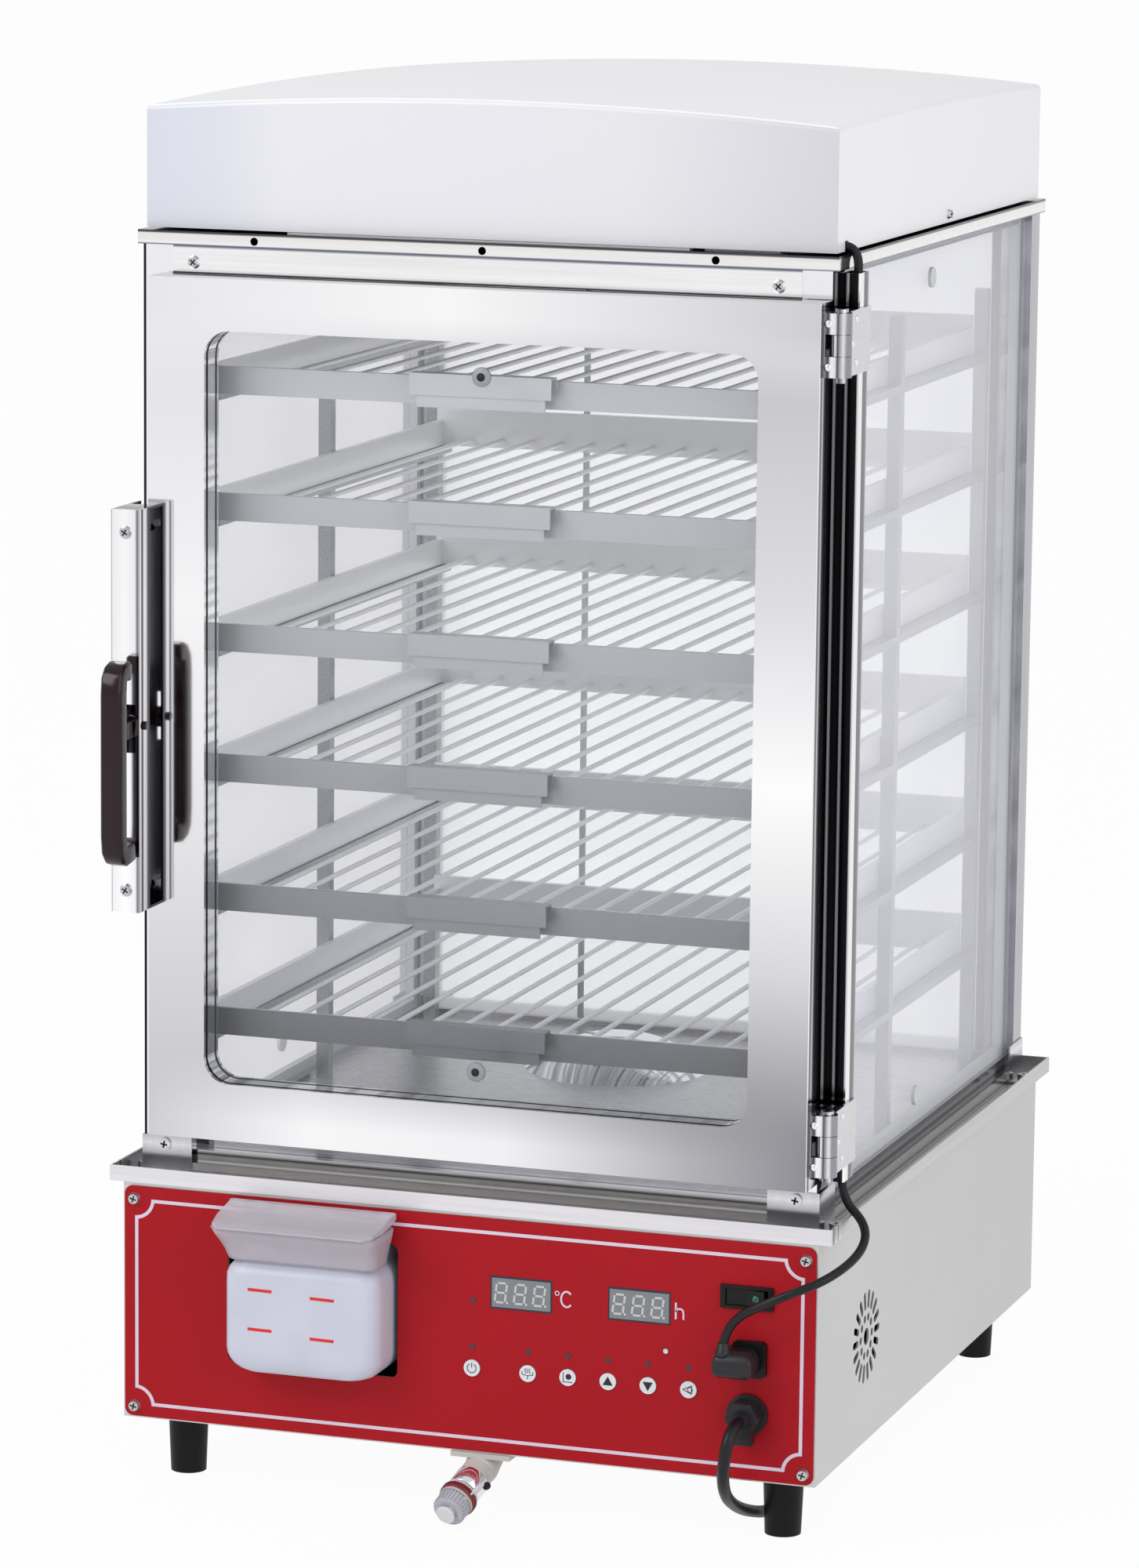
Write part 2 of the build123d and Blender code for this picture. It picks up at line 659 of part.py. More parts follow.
# Outlet for the lamp's plug
with BuildPart() as power_inlet:
    with BuildSketch(Plane.XZ.offset(-PANEL_FACE)) as outlet_face:
        with Locations((OUTLET_X, OUTLET_Z)):
            RectangleRounded(OUTLET_W, OUTLET_H, 3.0)
    extrude(outlet_face.sketch, amount=OUTLET_T)
    block(
        (OUTLET_X - OUTLET_BODY / 2, OUTLET_X + OUTLET_BODY / 2),
        (PANEL_FACE, PANEL_FACE + OUTLET_BODY_D),
        (OUTLET_Z - OUTLET_BODY / 2, OUTLET_Z + OUTLET_BODY / 2),
    )
save(power_inlet.part, "power_inlet")

# Plug of the lamp's cable, seated on the outlet
CONNECTOR_X = OUTLET_X + CONNECTOR_SHIFT
CABLE_END = (
    CONNECTOR_X - CONNECTOR_W / 2 + 6.0,
    OUTLET_FACE - CONNECTOR_D + 5.5,
    OUTLET_Z + CONNECTOR_H / 2,
)
with BuildPart() as lamp_connector:
    block(
        (CONNECTOR_X - CONNECTOR_W / 2, CONNECTOR_X + CONNECTOR_W / 2),
        (OUTLET_FACE - CONNECTOR_D, OUTLET_FACE),
        (OUTLET_Z - CONNECTOR_H / 2, OUTLET_Z + CONNECTOR_H / 2),
    )
    chamfer(lamp_connector.edges().filter_by(Axis.Z), length=3.0)
save(lamp_connector.part, "lamp_connector")

# Gland with its nut, its nose and the moulded lug under it
with BuildPart() as cord_gland:
    with BuildSketch(Plane.XZ.offset(-PANEL_FACE)) as gland_flange:
        with Locations((GLAND_X, GLAND_Z)):
            Circle(GLAND_FLANGE_D / 2)
    extrude(gland_flange.sketch, amount=GLAND_FLANGE_T)
    with BuildSketch(Plane.XZ.offset(-GLAND_FACE)) as gland_nut:
        with Locations((GLAND_X, GLAND_Z)):
            RegularPolygon(GLAND_NUT_AF / 2, 6, major_radius=False)
    extrude(gland_nut.sketch, amount=GLAND_NUT_L)
    nose_start = GLAND_FACE - GLAND_NUT_L
    with BuildSketch(Plane.XZ.offset(-nose_start)) as nose_base:
        with Locations((GLAND_X, GLAND_Z)):
            Circle(GLAND_NOSE_D / 2)
    with BuildSketch(Plane.XZ.offset(-GLAND_END)) as nose_tip:
        with Locations((GLAND_X, GLAND_Z)):
            Circle(GLAND_TIP_D / 2)
    loft(sections=[nose_base.sketch, nose_tip.sketch])
    rod(
        (GLAND_X, PANEL_FACE, GLAND_Z),
        (GLAND_X, PANEL_FACE + GLAND_INSIDE_L, GLAND_Z),
        GLAND_NOSE_D,
    )
    block(
        (GLAND_X - GLAND_LUG_W / 2, GLAND_X + GLAND_LUG_W / 2),
        (GLAND_FACE - GLAND_LUG_T, GLAND_FACE),
        (GLAND_Z - GLAND_LUG_DROP, GLAND_Z - GLAND_NUT_AF / 2 + 1.0),
    )
save(cord_gland.part, "cord_gland")


def bottle_section(y, grow):
    """Front view of the water bottle, drawn on a plane across its depth."""
    with BuildSketch(Plane.XZ.offset(-y)) as section:
        half = BOTTLE_W / 2 - grow
        neck = BOTTLE_NECK_W / 2 - grow
        with BuildLine():
            Polyline(
                (BOTTLE_X - half, BOTTLE_BOTTOM + grow),
                (BOTTLE_X + half, BOTTLE_BOTTOM + grow),
                (BOTTLE_X + half, BOTTLE_SHOULDER - grow),
                (BOTTLE_X + neck, BOTTLE_SHOULDER + 5.0 - grow),
                (BOTTLE_X + neck, BOTTLE_NECK_TOP),
                (BOTTLE_X - neck, BOTTLE_NECK_TOP),
                (BOTTLE_X - neck, BOTTLE_SHOULDER + 5.0 - grow),
                (BOTTLE_X - half, BOTTLE_SHOULDER - grow),
                close=True,
            )
        make_face()
        corners = section.vertices().group_by(Axis.Y)[0]
        fillet(corners, radius=BOTTLE_R - grow)
    return section.sketch


# Water bottle with its funnel mouth and the spout that feeds the boiler
SPOUT_END = BOILER_Y - BOILER_D / 2
BOTTLE_BACK = PANEL_FACE + BOTTLE_IN
with BuildPart() as filler_bottle:
    extrude(bottle_section(BOTTLE_BACK, 0.0), amount=BOTTLE_BACK - BOTTLE_FRONT)
    front_edges = filler_bottle.faces().sort_by(Axis.Y)[0].edges().sort_by(Axis.Z)[:5]
    fillet(front_edges, radius=8.0)
    extrude(
        bottle_section(BOTTLE_BACK - BOTTLE_WALL, BOTTLE_WALL),
        amount=BOTTLE_BACK - BOTTLE_FRONT - 2 * BOTTLE_WALL,
        mode=Mode.SUBTRACT,
    )
    funnel_half = FUNNEL_W / 2
    mouth_back = PANEL_FACE - 1.0
    block(
        (BOTTLE_X - BOTTLE_NECK_W / 2, BOTTLE_X + BOTTLE_NECK_W / 2),
        (mouth_back, BOTTLE_BACK),
        (BOTTLE_NECK_TOP - 2.0, BOTTLE_NECK_TOP),
    )
    with BuildSketch(Plane.XY.offset(BOTTLE_NECK_TOP - 4.0)) as funnel_low:
        with Locations((BOTTLE_X, (mouth_back + BOTTLE_FRONT + 3.0) / 2)):
            Rectangle(BOTTLE_NECK_W, mouth_back - BOTTLE_FRONT - 3.0)
    with BuildSketch(Plane.XY.offset(FUNNEL_TOP)) as funnel_high:
        with Locations((BOTTLE_X, mouth_back - FUNNEL_OUT / 2 + 2.0)):
            Rectangle(FUNNEL_W, FUNNEL_OUT - 4.0)
    loft(sections=[funnel_low.sketch, funnel_high.sketch])
    with BuildSketch(Plane.XY.offset(BOTTLE_NECK_TOP - 6.0)) as bore_low:
        with Locations((BOTTLE_X, (mouth_back + BOTTLE_FRONT + 3.0) / 2)):
            Rectangle(
                BOTTLE_NECK_W - 2 * FUNNEL_WALL - 4.0,
                mouth_back - BOTTLE_FRONT - 3.0 - 2 * FUNNEL_WALL,
            )
    with BuildSketch(Plane.XY.offset(FUNNEL_TOP)) as bore_high:
        with Locations((BOTTLE_X, mouth_back - FUNNEL_OUT / 2 + 2.0)):
            Rectangle(FUNNEL_W - 2 * FUNNEL_WALL, FUNNEL_OUT - 4.0 - 2 * FUNNEL_WALL)
    loft(sections=[bore_low.sketch, bore_high.sketch], mode=Mode.SUBTRACT)
    rod((BOTTLE_X, BOTTLE_BACK, SPOUT_Z), (BOTTLE_X, SPOUT_END, SPOUT_Z), SPOUT_D)
    rod(
        (BOTTLE_X, BOTTLE_BACK - 2 * BOTTLE_WALL, SPOUT_Z),
        (BOTTLE_X, SPOUT_END, SPOUT_Z),
        SPOUT_D - 4.0,
        mode=Mode.SUBTRACT,
    )
    rod(
        (BOTTLE_X - FUNNEL_W / 2 + 12.0, LID_HINGE_Y, LID_HINGE_Z),
        (BOTTLE_X + FUNNEL_W / 2 - 12.0, LID_HINGE_Y, LID_HINGE_Z),
        2 * LID_HINGE_R,
    )
    block(
        (BOTTLE_X - FUNNEL_W / 2 + 12.0, BOTTLE_X + FUNNEL_W / 2 - 12.0),
        (LID_HINGE_Y - LID_HINGE_R, LID_HINGE_Y + LID_HINGE_R),
        (FUNNEL_TOP - 1.0, LID_HINGE_Z),
    )
save(filler_bottle.part, "filler_bottle")

# Lid over the funnel, with a hinge eye at each end of the bar
with BuildPart() as filler_lid:
    lid_half = FUNNEL_W / 2
    lid_back = LID_HINGE_Y - LID_HINGE_R - MOVE_GAP
    lid_front = mouth_back - FUNNEL_OUT
    seat = FUNNEL_TOP + MOVE_GAP
    with BuildSketch(Plane.YZ.offset(BOTTLE_X - lid_half)) as lid_profile:
        with BuildLine():
            Polyline(
                (lid_back, LID_HINGE_Z + LID_HINGE_R),
                (lid_back, seat),
                (lid_front, seat),
                (lid_front, seat + 1.5),
                (lid_front + 3.0, seat + LID_T),
                close=True,
            )
        make_face()
    extrude(lid_profile.sketch, amount=2 * lid_half)
    for side in (-1, 1):
        outer = BOTTLE_X + side * lid_half
        inner = outer - side * 11.0
        rod((outer, LID_HINGE_Y, LID_HINGE_Z), (inner, LID_HINGE_Y, LID_HINGE_Z), 2 * LID_HINGE_R)
        block(
            (min(outer, inner), max(outer, inner)),
            (lid_back - 1.0, LID_HINGE_Y),
            (LID_HINGE_Z - LID_HINGE_R, LID_HINGE_Z + LID_HINGE_R),
        )
    corners = filler_lid.edges().filter_by(Axis.Z).group_by(Axis.Y)[0]
    fillet(corners, radius=1.2)
save(filler_lid.part, "filler_lid")

# Boiler pan hung under the tray, open above
with BuildPart() as boiler_pan:
    pan_x = (STEAM_X - BOILER_W / 2, STEAM_X + BOILER_W / 2)
    pan_y = (BOILER_Y - BOILER_D / 2, BOILER_Y + BOILER_D / 2)
    pan_z = (BASE_TOP - BOILER_H, BASE_TOP)
    block(pan_x, pan_y, pan_z)
    block(
        (pan_x[0] - BOILER_FLANGE, pan_x[1] + BOILER_FLANGE),
        (pan_y[0], pan_y[1] + BOILER_FLANGE),
        (BASE_TOP - BOILER_T, BASE_TOP),
    )
    block(
        (pan_x[0] + BOILER_T, pan_x[1] - BOILER_T),
        (pan_y[0] + BOILER_T, pan_y[1] - BOILER_T),
        (pan_z[0] + BOILER_T, BASE_TOP),
        mode=Mode.SUBTRACT,
    )
    rod(
        (BOTTLE_X, pan_y[0], SPOUT_Z), (BOTTLE_X, pan_y[0] + BOILER_T, SPOUT_Z), SPOUT_D - 4.0,
        mode=Mode.SUBTRACT,
    )
    heater_z = pan_z[0] + HEATER_RISE
    heater_xs = (STEAM_X + 40.0, STEAM_X + 40.0 + HEATER_LEG_GAP)
    for x in heater_xs:
        rod(
            (x, pan_y[0], heater_z), (x, pan_y[0] + BOILER_T, heater_z), HEATER_TUBE_D,
            mode=Mode.SUBTRACT,
        )
    drain_in = (DRAIN_X, pan_y[0] + 14.0)
    rod((*drain_in, pan_z[0]), (*drain_in, pan_z[0] + BOILER_T), DRAIN_BORE_D, mode=Mode.SUBTRACT)
save(boiler_pan.part, "boiler_pan")

# Sheathed heating element, a hairpin through the pan's front wall
with BuildPart() as heater:
    with BuildLine() as heater_path:
        FilletPolyline(
            (heater_xs[0], pan_y[0] - 16.0, heater_z),
            (heater_xs[0], pan_y[0] + HEATER_LEN, heater_z),
            (heater_xs[1], pan_y[0] + HEATER_LEN, heater_z),
            (heater_xs[1], pan_y[0] - 16.0, heater_z),
            radius=HEATER_LEG_GAP / 2 - 1.0,
        )
    with BuildSketch(Plane(origin=heater_path.line @ 0, z_dir=heater_path.line % 0)):
        Circle(HEATER_TUBE_D / 2)
    sweep(path=heater_path.line)
save(heater.part, "heater")

# Domed steam diffuser on the cabinet floor
floor_top = CABINET_FLOOR_Z + CABINET_FLOOR_T
with BuildPart() as steam_diffuser:
    dome_r = (DIFFUSER_D**2 / 4 + DIFFUSER_H**2) / (2 * DIFFUSER_H)
    dome_z = floor_top + DIFFUSER_H - dome_r
    with Locations((STEAM_X, STEAM_Y, dome_z)):
        Sphere(dome_r)
        Sphere(dome_r - DIFFUSER_T, mode=Mode.SUBTRACT)
    split(bisect_by=Plane.XY.offset(floor_top), keep=Keep.TOP)
    with Locations((STEAM_X, STEAM_Y, floor_top + DIFFUSER_H)):
        with PolarLocations(DIFFUSER_RING_D / 2, DIFFUSER_HOLES):
            Cylinder(DIFFUSER_HOLE_D / 2, 2 * DIFFUSER_H, mode=Mode.SUBTRACT)
save(steam_diffuser.part, "steam_diffuser")

# Perforated floor of the cabinet, carried by the lower rails
with BuildPart() as cabinet_floor:
    block(
        (-POST_IN_X, POST_IN_X), (-POST_IN_Y, POST_IN_Y), (CABINET_FLOOR_Z, floor_top)
    )
    with Locations((STEAM_X, STEAM_Y, floor_top)):
        Cylinder(STEAM_HOLE_D / 2, 4 * SHEET, mode=Mode.SUBTRACT)
save(cabinet_floor.part, "cabinet_floor")

# Drain valve: flange, elbow, clear tube, knurled ring and threaded spigot
drain_axis = (Vector(*DRAIN_END) - Vector(*DRAIN_START)).normalized()
ring_end = Vector(*DRAIN_END)
spigot_end = ring_end + drain_axis * DRAIN_SPIGOT_L
with BuildPart() as drain_valve:
    block(
        (DRAIN_X - DRAIN_FLANGE_W / 2, DRAIN_X + DRAIN_FLANGE_W / 2),
        (DRAIN_Y - DRAIN_FLANGE_D / 2, DRAIN_Y + DRAIN_FLANGE_D / 2),
        (BASE_BOTTOM - DRAIN_FLANGE_T, BASE_BOTTOM),
    )
    rod((DRAIN_X, DRAIN_Y, BASE_BOTTOM - DRAIN_FLANGE_T), DRAIN_START, DRAIN_ELBOW_D)
    with Locations(DRAIN_START):
        Sphere(DRAIN_ELBOW_D / 2)
    split(bisect_by=Plane.XY.offset(BASE_BOTTOM), keep=Keep.BOTTOM)
    rod((DRAIN_X, DRAIN_Y, BASE_BOTTOM), (DRAIN_X, DRAIN_Y, BASE_BOTTOM + 6.0), DRAIN_SPIGOT_D)
    rod(DRAIN_START, DRAIN_END, DRAIN_TUBE_D)
    rod(tuple(ring_end - drain_axis * DRAIN_RING_L), tuple(ring_end), DRAIN_RING_D)
    rod(DRAIN_END, tuple(spigot_end), DRAIN_SPIGOT_D)
    rod(DRAIN_START, tuple(spigot_end), DRAIN_BORE_D, mode=Mode.SUBTRACT)
save(drain_valve.part, "drain_valve")

# Screw cap of the drain, with its grip ribs
cap_start = ring_end + drain_axis * MOVE_GAP
cap_end = cap_start + drain_axis * CAP_L
with BuildPart() as drain_cap:
    rod(tuple(cap_start), tuple(cap_end), CAP_D)
    cap_plane = Plane(origin=tuple(cap_start), z_dir=drain_axis)
    with BuildSketch(cap_plane) as ribs:
        with PolarLocations(CAP_D / 2, CAP_RIBS):
            Rectangle(1.2, 0.9)
    extrude(ribs.sketch, amount=CAP_L - 1.0)
    rod(tuple(cap_end), tuple(cap_end + drain_axis * CAP_BOSS_H), CAP_BOSS_D)
    rod(
        tuple(cap_start),
        tuple(cap_end - drain_axis * CAP_FACE_T),
        DRAIN_SPIGOT_D + 2 * PIN_GAP,
        mode=Mode.SUBTRACT,
    )
save(drain_cap.part, "drain_cap")

# Four hollow corner posts
POST_PLACES = [(sx, sy) for sx in (-1, 1) for sy in (-1, 1)]
with BuildPart() as corner_posts:
    for sx, sy in POST_PLACES:
        xs = sorted((sx * FRAME_X, sx * POST_IN_X))
        ys = sorted((sy * FRAME_Y, sy * POST_IN_Y))
        block(xs, ys, (TRAY_FLOOR, POST_TOP))
        block(
            (xs[0] + POST_WALL, xs[1] - POST_WALL),
            (ys[0] + POST_WALL, ys[1] - POST_WALL),
            (TRAY_FLOOR, POST_TOP),
            mode=Mode.SUBTRACT,
        )
save(corner_posts.part, "corner_posts")

# Lower rails between the posts, each a stepped bar
with BuildPart() as bottom_frame:
    for sy in (-1, 1):
        outer = sy * FRAME_Y
        block(
            (-POST_IN_X, POST_IN_X),
            sorted((outer, outer - sy * POST)),
            (TRAY_FLOOR, TRAY_FLOOR + RAIL_STEP_Z),
        )
        block(
            (-POST_IN_X, POST_IN_X),
            sorted((outer - sy * 4.0, outer - sy * POST)),
            (TRAY_FLOOR + RAIL_STEP_Z, RAIL_TOP),
        )
    for sx in (-1, 1):
        outer = sx * FRAME_X
        block(
            sorted((outer, outer - sx * POST)),
            (-POST_IN_Y, POST_IN_Y),
            (TRAY_FLOOR, TRAY_FLOOR + RAIL_STEP_Z),
        )
        block(
            sorted((outer - sx * 4.0, outer - sx * POST)),
            (-POST_IN_Y, POST_IN_Y),
            (TRAY_FLOOR + RAIL_STEP_Z, RAIL_TOP),
        )
    block(
        (-POST_IN_X, POST_IN_X), (-POST_IN_Y, POST_IN_Y), (CABINET_FLOOR_Z, floor_top),
        mode=Mode.SUBTRACT,
    )
save(bottom_frame.part, "bottom_frame")

# Polished strip over the door
with BuildPart() as head_strip:
    block(
        (-STRIP_W / 2, STRIP_W / 2), (-FRAME_Y - STRIP_T, -FRAME_Y), (POST_TOP - STRIP_H, POST_TOP)
    )
    block(
        (-POST_IN_X, POST_IN_X), (-FRAME_Y, -FRAME_Y + POST), (POST_TOP - POST_WALL, POST_TOP)
    )
    block(
        (-POST_IN_X, POST_IN_X),
        (-FRAME_Y, -FRAME_Y + 6.0),
        (POST_TOP - STRIP_H, POST_TOP - POST_WALL),
    )
    for x in (-STRIP_SCREW_X, STRIP_SCREW_X):
        rod(
            (x, -FRAME_Y - STRIP_T, STRIP_SCREW_Z), (x, -FRAME_Y + 6.0, STRIP_SCREW_Z),
            SCREW_SHANK_D,
            mode=Mode.SUBTRACT,
        )
save(head_strip.part, "head_strip")

# Side walls: an outer and an inner pane on each side, between posts and rails
PANE_Z = (RAIL_TOP, POST_TOP)
side_y = (-POST_IN_Y, POST_IN_Y)
with BuildPart() as side_glass:
    for side in (-1, 1):
        outer = side * (FRAME_X - GLASS_IN)
        for depth in (0.0, GLASS_T + GLASS_SPACER):
            face = outer - side * depth
            block(sorted((face, face - side * GLASS_T)), side_y, PANE_Z)
save(side_glass.part, "side_glass")

# Rear wall: an outer and an inner pane
with BuildPart() as rear_glass:
    outer = FRAME_Y - GLASS_IN
    for depth in (0.0, GLASS_T + GLASS_SPACER):
        face = outer - depth
        block((-POST_IN_X, POST_IN_X), (face - GLASS_T, face), PANE_Z)
save(rear_glass.part, "rear_glass")

# Spacer seals between the panes, along every edge
with BuildPart() as glass_seals:
    for side in (-1, 1):
        near = side * (FRAME_X - GLASS_IN - GLASS_T)
        xs = sorted((near, near - side * GLASS_SPACER))
        block(xs, side_y, PANE_Z)
        block(
            xs,
            (side_y[0] + SEAL_W, side_y[1] - SEAL_W),
            (PANE_Z[0] + SEAL_W, PANE_Z[1] - SEAL_W),
            mode=Mode.SUBTRACT,
        )
    near = FRAME_Y - GLASS_IN - GLASS_T
    block((-POST_IN_X, POST_IN_X), (near - GLASS_SPACER, near), PANE_Z)
    block(
        (-POST_IN_X + SEAL_W, POST_IN_X - SEAL_W),
        (near - GLASS_SPACER, near),
        (PANE_Z[0] + SEAL_W, PANE_Z[1] - SEAL_W),
        mode=Mode.SUBTRACT,
    )
save(glass_seals.part, "glass_seals")

# Round glazing buttons on the outside of the side panes
with BuildPart() as glass_grommets:
    for side in (-1, 1):
        face = side * (FRAME_X - GLASS_IN)
        for z in (PANE_Z[1] - GROMMET_DROP, PANE_Z[0] + GROMMET_RISE):
            rod((face, GROMMET_Y, z), (face + side * GROMMET_T, GROMMET_Y, z), GROMMET_D)
save(glass_grommets.part, "glass_grommets")

# Angle brackets that hold the frame down at the corners
with BuildPart() as corner_brackets:
    for sx, sy in POST_PLACES:
        x_out = sx * (FRAME_X + BRACKET_GAP)
        y_out = sy * (FRAME_Y + BRACKET_GAP)
        x_in = sx * (FRAME_X - BRACKET_LEG)
        y_in = sy * (FRAME_Y - BRACKET_LEG)
        block(
            sorted((x_in, x_out)), sorted((sy * FRAME_Y, y_out)), (TRAY_FLOOR, BRACKET_TOP)
        )
        block(
            sorted((sx * FRAME_X, x_out)), sorted((y_in, y_out)), (TRAY_FLOOR, BRACKET_TOP)
        )
        foot_x = sx * (RIM_W / 2 - SHEET)
        block(
            sorted((sx * FRAME_X, foot_x)), sorted((y_in, y_out)), (TRAY_FLOOR, TRAY_FLOOR + BRACKET_T)
        )
        middle_y = sy * (FRAME_Y - BRACKET_LEG / 2)
        middle_x = (sx * FRAME_X + foot_x) / 2
        rod(
            (middle_x, middle_y, TRAY_FLOOR + BRACKET_T),
            (middle_x, middle_y, TRAY_FLOOR + BRACKET_T + SCREW_H),
            SCREW_D,
        )
        head_x = sx * (FRAME_X - POST + SCREW_D / 2 + 2.0)
        head_z = BRACKET_TOP - 5.0
        rod((head_x, y_out, head_z), (head_x, y_out + sy * 1.6, head_z), SCREW_D)
save(corner_brackets.part, "corner_brackets")

# Polished trim round the top of the frame
with BuildPart() as top_trim:
    block((-TRIM_W / 2, TRIM_W / 2), (-TRIM_D / 2, TRIM_D / 2), (POST_TOP, TRIM_TOP))
    block(
        (TRIM_T - TRIM_W / 2, TRIM_W / 2 - TRIM_T),
        (TRIM_T - TRIM_D / 2, TRIM_D / 2 - TRIM_T),
        (POST_TOP + TRIM_T, TRIM_TOP - TRIM_T),
        mode=Mode.SUBTRACT,
    )
    block(
        (TRIM_LEDGE - TRIM_W / 2, TRIM_W / 2 - TRIM_LEDGE),
        (TRIM_LEDGE - TRIM_D / 2, TRIM_D / 2 - TRIM_LEDGE),
        (TRIM_TOP - TRIM_T, TRIM_TOP),
        mode=Mode.SUBTRACT,
    )
    for x in TRIM_HOLE_XS:
        rod(
            (x, -TRIM_D / 2, TRIM_HOLE_Z), (x, -TRIM_D / 2 + TRIM_T, TRIM_HOLE_Z), TRIM_HOLE_D,
            mode=Mode.SUBTRACT,
        )
save(top_trim.part, "top_trim")


def crowned_block(grow):
    """The cover's outside or inside: a box whose top is crowned along X and along Y."""
    half_x = COVER_W / 2 - grow
    half_y = COVER_D / 2 - grow
    corner = COVER_CORNER_Z - grow
    rise_x = CROWN_X * (half_x / (COVER_W / 2)) ** 2
    rise_y = CROWN_Y * (half_y / (COVER_D / 2)) ** 2
    sections = []
    for y, rise in ((-half_y, 0.0), (0.0, rise_y), (half_y, 0.0)):
        with BuildSketch(Plane.XZ.offset(-y)) as section:
            with BuildLine():
                low = COVER_BOTTOM - (1.0 if grow else 0.0)
                edge = Polyline(
                    (-half_x, corner + rise), (-half_x, low), (half_x, low), (half_x, corner + rise)
                )
                ThreePointArc(edge @ 1, (0, corner + rise + rise_x), edge @ 0)
            make_face()
        sections.append(section.sketch)
    return sections


# White top cover
cable_y = DUCT_Y
cable_z = TRIM_TOP + 4.0
with BuildPart() as top_cover:
    loft(sections=crowned_block(0.0))
    fillet(top_cover.faces().sort_by(Axis.Z)[-1].edges(), radius=COVER_EDGE_R)
    loft(sections=crowned_block(COVER_T), mode=Mode.SUBTRACT)
    with Locations((COVER_W / 2, cable_y, COVER_BOTTOM)):
        Box(
            4 * COVER_T, LAMP_CABLE_D + 1.0, 2 * (cable_z - COVER_BOTTOM + LAMP_CABLE_D / 2 + 0.4),
            mode=Mode.SUBTRACT,
        )
    for side in (-1, 1):
        rod(
            (side * COVER_W / 2, COVER_SCREW_Y, COVER_SCREW_Z),
            (side * (COVER_W / 2 - COVER_T), COVER_SCREW_Y, COVER_SCREW_Z),
            SCREW_SHANK_D,
            mode=Mode.SUBTRACT,
        )
    seat_y = COVER_D / 2 - COVER_T
    for side in (-1, 1):
        block(
            (-120.0, 120.0), sorted((side * seat_y, side * (seat_y - 8.0))),
            (TRIM_TOP, COVER_BOTTOM + SHEET),
        )
save(top_cover.part, "top_cover")

# Lamp under the cover: holder on the trim's ledge, and a short tube
with BuildPart() as cover_lamp:
    block(
        (LAMP_HOLDER_X - LAMP_HOLDER[0] / 2, LAMP_HOLDER_X + LAMP_HOLDER[0] / 2),
        (LAMP_HOLDER_Y - LAMP_HOLDER[1] / 2, LAMP_HOLDER_Y + LAMP_HOLDER[1] / 2),
        (TRIM_TOP, TRIM_TOP + LAMP_HOLDER[2]),
    )
    rod(
        (LAMP_HOLDER_X - LAMP_HOLDER[0] / 2, LAMP_HOLDER_Y, TRIM_TOP + LAMP_HOLDER[2] / 2),
        (
            LAMP_HOLDER_X - LAMP_HOLDER[0] / 2 - LAMP_TUBE_L,
            LAMP_HOLDER_Y,
            TRIM_TOP + LAMP_HOLDER[2] / 2,
        ),
        LAMP_TUBE_D,
    )
save(cover_lamp.part, "cover_lamp")

# Square duct for the lamp's cable
with BuildPart() as cable_duct:
    duct_x = (FRAME_X, FRAME_X + DUCT_W)
    duct_y = (DUCT_Y - DUCT_D / 2, DUCT_Y + DUCT_D / 2)
    block(duct_x, duct_y, (DUCT_BOTTOM, DUCT_TOP))
    block(
        (duct_x[0] + DUCT_T, duct_x[1] - DUCT_T),
        (duct_y[0] + DUCT_T, duct_y[1] - DUCT_T),
        (DUCT_BOTTOM, DUCT_TOP),
        mode=Mode.SUBTRACT,
    )
save(cable_duct.part, "cable_duct")

# Racks: uprights with a runner under each tray side, two sets
TRAY_SIDE = TRAY_W / 2
RACK_Z = (floor_top, TRAY_TOPS[0] + TRAY_REAR_H)
with BuildPart() as shelf_racks:
    for side in (-1, 1):
        rack_in = side * (TRAY_SIDE + MOVE_GAP)
        for y in RACK_YS:
            block(
                sorted((rack_in, rack_in + side * RACK_POST)),
                (y - RACK_POST / 2, y + RACK_POST / 2),
                RACK_Z,
            )
        for top in TRAY_TOPS:
            runner_top = top - TRAY_RAIL_H - MOVE_GAP
            block(
                sorted((side * (TRAY_SIDE - RUNNER_W + RACK_POST), rack_in + side * RACK_POST)),
                (RACK_YS[0] - RACK_POST / 2, RACK_YS[2] + RACK_POST / 2),
                (runner_top - RUNNER_H, runner_top),
            )
save(shelf_racks.part, "shelf_racks")

